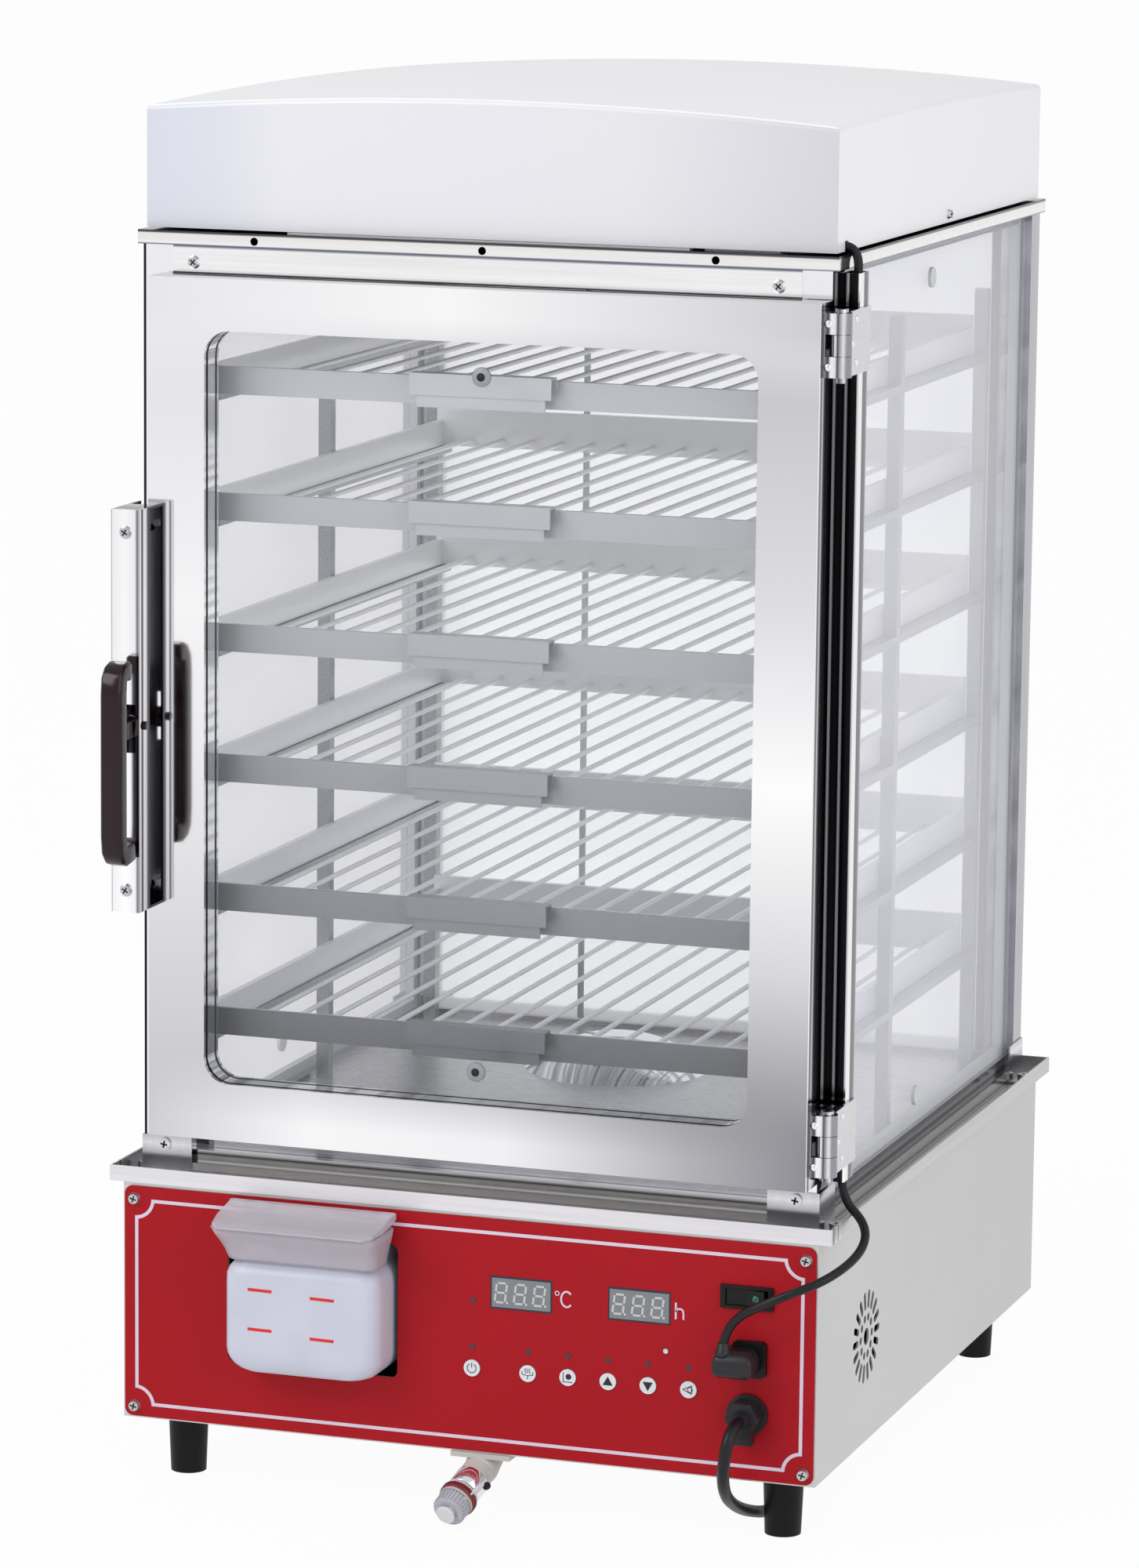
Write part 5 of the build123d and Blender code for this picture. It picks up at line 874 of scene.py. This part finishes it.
def degrees_sign(bm):
    """The sign for degrees Celsius, beside the left display."""
    stroke(bm, round_shape(56.8, 137.4, 1.2, 14), 0.5, PANEL_Y, True)
    x, z, radius, narrower, taller = 62.6, 134.3, 4.2, 0.8, 1.08
    arc = round_shape(x, z, radius, 18, 42.0, 318.0)
    stroke(bm, [(x + (px - x) * narrower, z + (pz - z) * taller) for px, pz in arc], 1.05, PANEL_Y)


def hours_sign(bm):
    """The letter for hours, beside the right display."""
    left, right, top, bottom, joint = 128.2, 132.8, 138.6, 128.9, 133.2
    stroke(bm, [(left, top), (left, bottom)], 1.1, PANEL_Y)
    arch = [(130.6 - 2.2 * math.cos(a), joint + 2.0 * math.sin(a)) for a in (0.6, 1.2, 1.8, 2.5)]
    stroke(bm, [(left, joint), *arch, (right, 132.4), (right, bottom)], 1.0, PANEL_Y)


class CABINET_OT_print(bpy.types.Operator):
    """Print the border and the unit marks on the front panel"""

    bl_idname = "cabinet.print"
    bl_label = "Print the panel"

    def execute(self, context):
        bm = bmesh.new()
        outer, inner = notched_ring(0.0), notched_ring(values().print_width / MM)
        for i, _ in enumerate(outer):
            j = (i + 1) % len(outer)
            flat_shape(bm, [outer[i], outer[j], inner[j], inner[i]], PANEL_Y)
        degrees_sign(bm)
        hours_sign(bm)
        piece_from("panel_print", bm, "print", smooth=False)

        bm = bmesh.new()
        flat_shape(bm, round_shape(*RESET_PLACE, 1.5, 18), RESET_Y)
        piece_from("reset_light", bm, "print", smooth=False)
        return {"FINISHED"}


def digit_outline(bm, x, z, y):
    """All seven segments and the dot of one slanted digit."""
    half, up, gap = DIGIT_W / 2, DIGIT_H / 2, 0.7

    def bar(*ends):
        stroke(bm, [(x + px + DIGIT_SLANT * pz, z + pz) for px, pz in ends], DIGIT_LINE, y, False, DIGIT_T)

    for level in (-up, 0.0, up):
        bar((-half + 0.8, level), (half - 0.8, level))
    for side in (-half, half):
        bar((side, gap), (side, up - gap))
        bar((side, -up + gap), (side, -gap))
    flat_shape(bm, round_shape(x + half + 1.4 - DIGIT_SLANT * up, z - up, 0.75, 10), y, DIGIT_T)


class CABINET_OT_displays(bpy.types.Operator):
    """Face the two displays and draw their segments"""

    bl_idname = "cabinet.displays"
    bl_label = "Face the displays"

    def execute(self, context):
        window, digits = bmesh.new(), bmesh.new()
        wide, tall = DISPLAY_HALF
        for x in DISPLAY_XS:
            corners = [(x + sx * wide, DISPLAY_Z + sz * tall) for sx, sz in SQUARE]
            flat_shape(window, corners, PANEL_Y, DISPLAY_T)
            for step in (-1, 0, 1):
                digit_outline(digits, x + step * DIGIT_PITCH + DIGIT_SHIFT, DISPLAY_Z, PANEL_Y - DISPLAY_T)
        piece_from("display_windows", window, "window", smooth=False)
        piece_from("display_digits", digits, "digit", smooth=False)
        return {"FINISHED"}


WAVE = [(0.35 * math.sin(i * 1.1), 0.2 + i * 0.42) for i in range(8)]
# Each button's symbol round (0, 0): lines with their width, or filled shapes with a width of 0.
SYMBOLS = {
    "power": ((round_shape(0, 0, 2.7, 20, 120.0, 420.0), 0.4), ([(0, 0.4), (0, 3.2)], 0.4)),
    "steam": (
        *(([(x + shift, z) for x, z in WAVE], 0.32) for shift in (-1.3, 0.0, 1.3)),
        ([(-3.4, 1.2), (-3.2, -0.6), (0, -1.2), (3.2, -0.6), (3.4, 1.2)], 0.35),
        ([(0, -1.2), (0.3, -2.2), (-0.2, -3.2)], 0.35),
    ),
    "set": ((round_shape(0.6, 0.6, 1.7, 20), 0), ([(-2.6, 3.0), (-2.6, -2.6), (3.0, -2.6)], 0.35)),
    "up": (([(-3.0, -2.1), (3.0, -2.1), (0, 3.1)], 0),),
    "down": (([(-3.0, 2.1), (0, -3.1), (3.0, 2.1)], 0),),
    "view": (([(-3.2, 0), (2.0, 2.4), (2.0, -2.4)], 0.4, True), (round_shape(1.0, 0, 1.5, 14), 0.35, True)),
}


def lamp_plug():
    """The plug of the lamp's cable: a moulded body with a sleeve round the cable."""
    rings = []
    for z, inset in ((102.8, 2.8), (104.4, 0.9), (107.0, 0.1), (112.6, 0.3), (115.2, 1.6), (117.4, 4.0)):
        xs = (PLUG_X[0] + inset, PLUG_X[1] - inset)
        rings.append(rounded_box_ring(xs, (PLUG_Y[0] + inset, PLUG_Y[1]), z, 2.2))
    bm = bmesh.new()
    shell(bm, rings)
    sleeve = ((0.0, 4.8), (2.8, 4.6), (3.6, 3.9), (7.4, 3.4), (7.8, 3.0))
    turned(bm, (*LAMP_ROUTE[-1][:2], 115.0), (0, 0, 1), sleeve, 28)
    plug = piece_from("connector_body", bm, "nut")
    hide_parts("lamp_connector")


class CABINET_OT_symbols(bpy.types.Operator):
    """Draw the symbols on the buttons, shape the lamp's plug and add the switch's green lamp"""

    bl_idname = "cabinet.symbols"
    bl_label = "Mark the buttons"

    def execute(self, context):
        for key, x in zip(BUTTONS, BUTTON_XS):
            bm = bmesh.new()
            for line, width, *closed in SYMBOLS[key]:
                place = [(x + px, BUTTON_Z + pz) for px, pz in line]
                if width:
                    stroke(bm, place, width, BUTTON_Y, bool(closed))
                else:
                    flat_shape(bm, place, BUTTON_Y)
            piece_from(f"symbol_{key}", bm, "mark", f"button_{key}", smooth=False)
        lamp_plug()
        bm = bmesh.new()
        turned(bm, (176.4, -243.4, 145.6), (0, -1, 0), ((0.0, 2.2), (2.7, 2.2), (3.3, 1.6), (3.6, 0.5)), 24)
        piece_from("rocker_lamp", bm, "green", "rocker")
        return {"FINISHED"}


def bottle_body():
    """The bottle: rounded below, with a stepped shoulder, and its spout at the rear."""

    def ring(z, inset_x, inset_y, radius):
        xs = (BOTTLE_X - BOTTLE_HALF + inset_x, BOTTLE_X + BOTTLE_HALF - inset_x)
        return rounded_box_ring(xs, (BOTTLE_Y[0] + inset_y, BOTTLE_Y[1] - inset_y), z, radius)

    rings = []
    for step in range(7):
        angle = math.radians(90 * step / 6)
        z = BOTTLE_Z + BOTTLE_FOOT_R * (1 - math.cos(angle))
        inset = 1 - math.sin(angle)
        rings.append(ring(z, BOTTLE_FOOT_R * inset, BOTTLE_FRONT_R * inset, BOTTLE_CORNER_R))
    rings.append(ring(130.0, 0.0, 0.0, BOTTLE_CORNER_R))
    shoulder = ((137.0, 0.4), (140.5, 1.6), (143.0, 3.6), (144.6, 5.6), (147.0, 6.2), (154.9, 6.2))
    rings.extend(ring(z, inset, inset, SHOULDER_R) for z, inset in shoulder)
    bm = bmesh.new()
    shell(bm, rings)
    turned(bm, (BOTTLE_X, -133.0, SPOUT_Z), (0, 1, 0), ((0.0, 8.0), (47.9, 8.0), (48.0, 7.6)), 32)
    bottle = piece_from("bottle_body", bm, "bottle")
    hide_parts("filler_bottle")


def bottle_funnel():
    """The mouth over the bottle, wider and further forward towards the top."""
    outside = []
    for z, reach, out in (
        (146.0, 46.0, -268.0), (148.0, 46.6, -269.0), (152.0, 47.4, -271.0),
        (158.0, 48.8, -276.0), (163.0, 50.0, -281.0), (167.9, 50.8, -285.0),
    ):
        outside.append(rounded_box_ring((BOTTLE_X - reach, BOTTLE_X + reach), (out, -244.2), z, 7.0))
    narrower, shallower, middle_y, lift = 0.955, 0.9, -264.0, 0.01
    inside = []
    for ring in reversed(outside):
        inside.append([
            (BOTTLE_X + (x - BOTTLE_X) * narrower, middle_y + (y - middle_y) * shallower, z + lift)
            for x, y, z in ring
        ])
    bm = bmesh.new()
    shell(bm, outside + inside)
    hinge_pins(bm, 26.0, 13.0)
    piece_from("bottle_funnel", bm, "lid")


def bottle_lid():
    """The lid: a plate that slopes down and narrows to its front edge."""
    taper, straight, chamfer = 6.0, 0.8, 0.8
    sections = []
    for at, low, high in (
        (0.0, 173.0, 176.6), (0.12, 171.4, 176.4), (0.55, 169.4, 173.2),
        (0.86, 168.4, 171.0), (1.0, 168.2, 169.4),
    ):
        y = LID_Y - LID_DEPTH * at
        reach = LID_HALF - taper * max(0.0, at - straight) / (1 - straight)
        edge = high - chamfer
        half = ((-reach, low), (reach, low), (reach, edge), (reach - chamfer, high))
        outline = (*half, (chamfer - reach, high), (-reach, edge))
        sections.append([(BOTTLE_X + x, y, z) for x, z in outline])
    bm = bmesh.new()
    shell(bm, sections)
    hinge_pins(bm, 40.5, 10.4)
    lid = piece_from("bottle_lid", bm, "lid", "filler_lid", smooth=False)
    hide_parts("filler_lid")


def hinge_pins(bm, start, length):
    """A hinge pin on each side of the middle."""
    for side in (-1, 1):
        turned(bm, (BOTTLE_X + side * start, *LID_PIN), (side, 0, 0), ((0.0, 2.2), (length, 2.2)), 16)


def bottle_marks():
    """The four red dashes that show how full the bottle is."""
    bm = bmesh.new()
    for x, z in ((-115.5, 129.5), (-77.0, 127.6), (-115.5, 106.0), (-77.0, 103.6)):
        left, right = x - MARK_HALF, x + MARK_HALF
        dash = [(left, z - 0.9), (right, z - 1.1), (right, z + 0.7), (left, z + 0.9)]
        flat_shape(bm, dash, BOTTLE_Y[0], 0.12)
    piece_from("bottle_marks", bm, "red_print", smooth=False)


class CABINET_OT_bottle(bpy.types.Operator):
    """Shape the water bottle, its funnel and the lid"""

    bl_idname = "cabinet.bottle"
    bl_label = "Shape the bottle"

    def execute(self, context):
        bottle_body()
        bottle_funnel()
        bottle_lid()
        bottle_marks()
        return {"FINISHED"}


def grip_rings():
    """Sections of the grip's bar along its bowed line, in Y and Z, with the bar's depth inwards."""
    line = [
        (-286.2, 494.6), (-292.0, 495.0), (-298.0, 493.0), (-302.6, 487.0), (-303.9, 477.0), (-304.0, 436.0),
        (-304.0, 395.0), (-302.6, 385.0), (-298.0, 379.4), (-291.0, 377.0), (-281.0, 378.4),
    ]
    section = (
        (-5.0, 0.0), (5.0, 0.0), (6.4, 1.6), (6.4, 9.6), (5.0, 11.0), (-5.0, 11.0), (-6.4, 9.6), (-6.4, 1.6),
    )
    rings = []
    for i, place in enumerate(line):
        before, after = Vector(line[max(0, i - 1)]), Vector(line[min(len(line) - 1, i + 1)])
        way = (after - before).normalized()
        inward = Vector((way.y, -way.x))
        if inward.dot(Vector(GRIP_MIDDLE) - Vector(place)) < 0:
            inward = -inward
        spots = [(x, Vector(place) + inward * depth) for x, depth in section]
        rings.append([(LEVER_X + x, *spot) for x, spot in spots])
    return rings


class CABINET_OT_lever(bpy.types.Operator):
    """Shape the latch lever's looped grip"""

    bl_idname = "cabinet.lever"
    bl_label = "Shape the lever"

    def execute(self, context):
        y, z = PIVOT
        bm = bmesh.new()
        shell(bm, grip_rings())
        shell(bm, [rounded_box_ring(NECK_X, NECK_Y, at, 1.0, 2) for at in NECK_Z])
        rib = [(-296.0, 392.0), (-296.0, 480.0), (-291.0, 480.0), (-291.0, 392.0)]
        shell(bm, [[(LEVER_X + sx, py, pz) for py, pz in rib] for sx in (-1.5, 1.5)])
        turned(bm, (LEVER_X - 3.0, y, z), (1, 0, 0), ((0.0, 5.8), (6.0, 5.8)), 32)
        turned(bm, (-206.0, y, z), (1, 0, 0), ((0.0, 2.5), (19.5, 2.5)), 20)
        shell(bm, [rounded_box_ring(ARM_X, ARM_Y, at, 0.4, 2) for at in ARM_Z])
        lever = piece_from("lever_grip", bm, "lever", "lever")
        bevel = lever.modifiers.new("Bevel", "BEVEL")
        bevel.width = 0.8 * MM
        bevel.segments = 2
        bevel.limit_method = "ANGLE"
        bevel.angle_limit = 0.6
        rounded = with_modifiers(lever)
        lever.modifiers.clear()
        lever.data = rounded
        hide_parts("latch_lever")
        return {"FINISHED"}


def both_sides(place):
    """Four places, mirrored in X and in Y."""
    x, y, z = place
    return [(sx * x, sy * y, z) for sx in (-1, 1) for sy in (-1, 1)]


def screw_recesses():
    """A near-black cross of painted shade on the head of each screw that shows, where its recess is."""
    bm = bmesh.new()
    reach, half = RECESS_HALF
    for turn, top in ((0, 0.07), (90, 0.088)):
        cos, sin = math.cos(math.radians(turn)), math.sin(math.radians(turn))
        outline = [(sx * reach, sy * half) for sx, sy in SQUARE]
        shell(bm, [[(x * cos - y * sin, x * sin + y * cos, z) for x, y in outline] for z in (-0.3, top)])
    cross = mesh_from(bm, "cross_recess")
    fixed = [((x, HEAD_Y, z), (90, 15, 0)) for x in (-205.0, 205.0) for z in (45.0, 170.0)]
    fixed += [((x, -227.7, 717.5), (90, 40, 0)) for x in (-174.5, 174.5)]
    fixed += [((side * 207.95, 11.0, 741.3), (0, side * 90, 0)) for side in (-1, 1)]
    fixed += [(place, (0, 0, 20)) for place in both_sides((212.4, 209.5, 184.9))]
    fixed += [(place, (-90, 10, 0)) for place in both_sides((192.9, 227.1, 200.0))]
    scatter("screw_recesses", cross, fixed, "recess")
    door = [((-196.0, -277.7, z), (90, 30, 0)) for z in (567.0, 360.0)]
    scatter("handle_recesses", cross, door, "recess", "door")


def hinge_rivets():
    """Domed rivets on the hinge leaves."""
    bm = bmesh.new()
    turned(bm, (0, 0, -0.1), (0, 0, 1), ((0.0, 2.3), (0.4, 2.2), (0.8, 1.6), (1.1, 0.7)), 20)
    dome = mesh_from(bm, "rivet_dome")
    door_spots, post_spots = [], []
    for low, high in ((670.0, 706.0), (219.0, 255.0)):
        for z in (low + 6.0, high - 6.0):
            door_spots.append(((209.0, -246.0, z), (90, 0, 0)))
            post_spots.append(((218.1, -220.5, z + 1.0), (0, 90, 0)))
        post_spots.append(((218.1, -228.0, (low + high) / 2), (0, 90, 0)))
    scatter("door_rivets", dome, door_spots, "polished", "door")
    scatter("post_rivets", dome, post_spots, "polished")


class CABINET_OT_fasteners(bpy.types.Operator):
    """Mark the cross recesses on the screw heads with painted shade, and set the hinge rivets"""

    bl_idname = "cabinet.fasteners"
    bl_label = "Finish the fasteners"

    def execute(self, context):
        screw_recesses()
        hinge_rivets()
        return {"FINISHED"}


class CABINET_OT_glazing(bpy.types.Operator):
    """Add the door's glazing buttons, the rear bead and the spacer strips"""

    bl_idname = "cabinet.glazing"
    bl_label = "Finish the glazing"

    def execute(self, context):
        rims, centres = bmesh.new(), bmesh.new()
        for x, z in GLAZING_BUTTONS:
            turned(rims, (x, -246.9, z), (0, -1, 0), ((0.0, 5.6), (1.2, 5.6), (1.9, 4.9)), 28)
            turned(centres, (x, -248.75, z), (0, -1, 0), ((0.0, 2.4), (0.25, 2.4)), 20)
        piece_from("door_buttons", rims, "grommet", "door")
        piece_from("door_button_centres", centres, "recess", "door")
        profile = ((-2.2, 209.4), (-1.6, 208.3), (0.0, 207.9), (1.6, 208.3), (2.2, 209.4))
        bead = bmesh.new()
        shell(bead, [[(BEAD_X + x, y, z) for x, y in profile] for z in GLAZING_Z])
        piece_from("rear_bead", bead, "silicone")
        strips = bmesh.new()
        for side in (-1, 1):
            xs = (side * 183.5 - 2.5, side * 183.5 + 2.5)
            shell(strips, [rounded_box_ring(xs, (205.6, 209.3), z, 0.3, 1) for z in GLAZING_Z])
        piece_from("spacer_strips", strips, "rubber", smooth=False)
        return {"FINISHED"}


def ring_ribs(axis):
    """The knurls round the ring."""
    bm = bmesh.new()
    wide, deep = 0.35, 0.25
    shell(bm, [[(sx * wide, sy * deep, z) for sx, sy in SQUARE] for z in (0.0, 4.3)])
    rib = mesh_from(bm, "ring_rib")
    turn = axis.to_track_quat("Z", "Y")
    across, upward = turn @ Vector((1, 0, 0)), turn @ Vector((0, 1, 0))
    angles = [math.degrees(a) for a in turn.to_euler()]
    spots = []
    for i in range(RING_RIBS):
        a = 2 * math.pi * i / RING_RIBS
        out = across * math.cos(a) + upward * math.sin(a)
        spots.append((DRAIN_END - axis * 5.9 + out * RING_R, angles))
    scatter("ring_ribs", rib, spots, "ring")


def cap_strap(axis):
    """The strap that holds the cap, with its screw."""
    end = DRAIN_END + axis * 11.4
    line = [end + Vector(step) for step in STRAP_STEPS]
    rings = []
    for i, place in enumerate(line):
        way = (line[min(len(line) - 1, i + 1)] - line[max(0, i - 1)]).normalized()
        side = way.cross(axis).normalized() * STRAP_HALF[0]
        up = side.cross(way).normalized() * STRAP_HALF[1]
        rings.append([place + side * sx + up * su for sx, su in SQUARE])
    bm = bmesh.new()
    shell(bm, rings)
    turned(bm, end - axis * 0.5, axis, ((0.0, 5.6), (0.4, 5.8), (1.4, 5.8), (1.7, 5.4)), 32)
    piece_from("cap_strap", bm, "white", smooth=False)
    bm = bmesh.new()
    tip = line[-1] + Vector((1.0, 0.0, -1.0))
    screw = ((0.0, 1.2), (1.4, 1.2), (1.5, 2.6), (2.6, 2.4), (3.0, 1.4))
    turned(bm, tip, (0.55, -0.75, -0.3), screw, 20)
    piece_from("strap_screw", bm, "black")


class CABINET_OT_drain(bpy.types.Operator):
    """Dress the drain valve: bright sleeve, red ring and the cap's strap"""

    bl_idname = "cabinet.drain"
    bl_label = "Dress the drain"

    def execute(self, context):
        axis = (DRAIN_END - DRAIN_START).normalized()
        bm = bmesh.new()
        turned(bm, DRAIN_END - axis * 6.2, axis, ((0.0, 10.3), (0.3, RING_R), (4.6, RING_R), (4.9, 10.3)), 48)
        piece_from("drain_ring", bm, "ring")
        ring_ribs(axis)
        bm = bmesh.new()
        turned(bm, DRAIN_START + axis * 11.0, axis, ((0.0, 9.8), (0.4, 10.1), (12.0, 10.1), (12.4, 9.8)), 40)
        piece_from("drain_sleeve", bm, "polished")
        cap_strap(axis)
        return {"FINISHED"}


def studio_floor(context):
    """A wide pale floor that looks brighter to the camera than it lights the cabinet."""
    reach = values().floor_reach
    mesh = bpy.data.meshes.new("studio_floor")
    mesh.from_pydata([(sx * reach, sy * reach, 0) for sx, sy in SQUARE], [], [(0, 1, 2, 3)])
    floor = bpy.data.objects.new("studio_floor", mesh)
    context.scene.collection.objects.link(floor)
    paint = Paint("Studio floor", Roughness=0.9, Base_Color=(0.86, 0.86, 0.87, 1))
    path = paint.tree.nodes.new("ShaderNodeLightPath")
    rays = {"Is Camera Ray": 0.95, "Is Glossy Ray": 0.8, "Is Transmission Ray": 0.8}
    camera_ray, glossy_ray, clear_ray = (
        Link(paint, path.outputs[ray]) * part for ray, part in rays.items()
    )
    share = (camera_ray + glossy_ray + clear_ray).bounded()
    glow = paint.node("ShaderNodeEmission", {}, {"Color": (1, 1, 1, 1), "Strength": 1.0})
    paint.blend(share, glow)
    mesh.materials.append(paint.material)


def soft_lamp(context, name, place, size, power):
    """A soft light that faces the cabinet's middle."""
    lamp = bpy.data.lights.new(name, "AREA")
    lamp.shape = "RECTANGLE"
    lamp.size, lamp.size_y = size
    lamp.energy = power
    light = bpy.data.objects.new(name, lamp)
    context.scene.collection.objects.link(light)
    light.location = place
    way = Vector(LAMP_TARGET) - Vector(place)
    light.rotation_euler = way.to_track_quat("-Z", "Y").to_euler()


def studio_camera(context):
    """The camera, at the angle of the reference view."""
    camera_data = bpy.data.cameras.new("camera")
    camera = bpy.data.objects.new("camera", camera_data)
    context.scene.collection.objects.link(camera)
    azimuth, elevation, roll = CAMERA_AZIMUTH, CAMERA_ELEVATION, CAMERA_ROLL
    flat = Vector((math.sin(azimuth), math.cos(azimuth), 0.0))
    forward = flat * math.cos(elevation) + Vector((0.0, 0.0, math.sin(elevation)))
    level = Vector((math.cos(azimuth), -math.sin(azimuth), 0.0))
    rise = level.cross(forward)
    across = level * math.cos(roll) + rise * math.sin(roll)
    upward = rise * math.cos(roll) - level * math.sin(roll)
    turn = Matrix((across, upward, -forward)).transposed()
    camera.matrix_world = Matrix.Translation(CAMERA_PLACE) @ turn.to_4x4()
    camera_data.sensor_fit = "VERTICAL"
    camera_data.sensor_height = SENSOR
    camera_data.sensor_width = SENSOR
    camera_data.lens = FOCAL_PIXELS / IMAGE_HEIGHT * SENSOR
    camera_data.clip_end = 200.0
    context.scene.camera = camera


class CABINET_OT_stage(bpy.types.Operator):
    """Set the floor, the lights and the camera"""

    bl_idname = "cabinet.stage"
    bl_label = "Set the studio"

    def execute(self, context):
        studio_floor(context)
        world = bpy.data.worlds.new("Studio")
        context.scene.world = world
        world.use_nodes = True
        background = world.node_tree.nodes["Background"]
        background.inputs["Color"].default_value = (1, 1, 1, 1)
        background.inputs["Strength"].default_value = values().soft_light
        soft_lamp(context, "key_light", (-1.6, -2.2, 2.2), (1.6, 1.6), 34)
        soft_lamp(context, "fill_light", (2.2, -1.2, 1.4), (1.6, 2.0), 12)
        studio_camera(context)
        context.scene.cycles.transparent_max_bounces = PANES_SEEN_THROUGH
        context.scene.view_settings.view_transform = "Standard"
        return {"FINISHED"}


class CABINET_PT_panel(bpy.types.Panel):
    """Lists the cabinet's steps"""

    bl_label = "Cabinet"
    bl_idname = "CABINET_PT_panel"
    bl_space_type = "VIEW_3D"
    bl_region_type = "UI"
    bl_category = "Cabinet"

    def draw(self, context):
        for step in STEPS:
            self.layout.operator(step.bl_idname)


STEPS = (
    CABINET_OT_metal, CABINET_OT_print, CABINET_OT_displays, CABINET_OT_symbols, CABINET_OT_bottle,
    CABINET_OT_lever, CABINET_OT_fasteners, CABINET_OT_glazing, CABINET_OT_drain, CABINET_OT_cords,
    CABINET_OT_stage,
)
CLASSES = (CabinetValues, *STEPS, CABINET_PT_panel)


def register():
    """Register the classes and the values."""
    for each in CLASSES:
        bpy.utils.register_class(each)
    bpy.types.Scene.cabinet_values = bpy.props.PointerProperty(type=CabinetValues)


def unregister():
    """Remove the values and the classes."""
    del bpy.types.Scene.cabinet_values
    for each in reversed(CLASSES):
        bpy.utils.unregister_class(each)


def main():
    """Dress the cabinet step by step."""
    register()
    for step in STEPS:
        getattr(bpy.ops.cabinet, step.bl_idname.split(".")[1])()


if __name__ == "__main__":
    main()
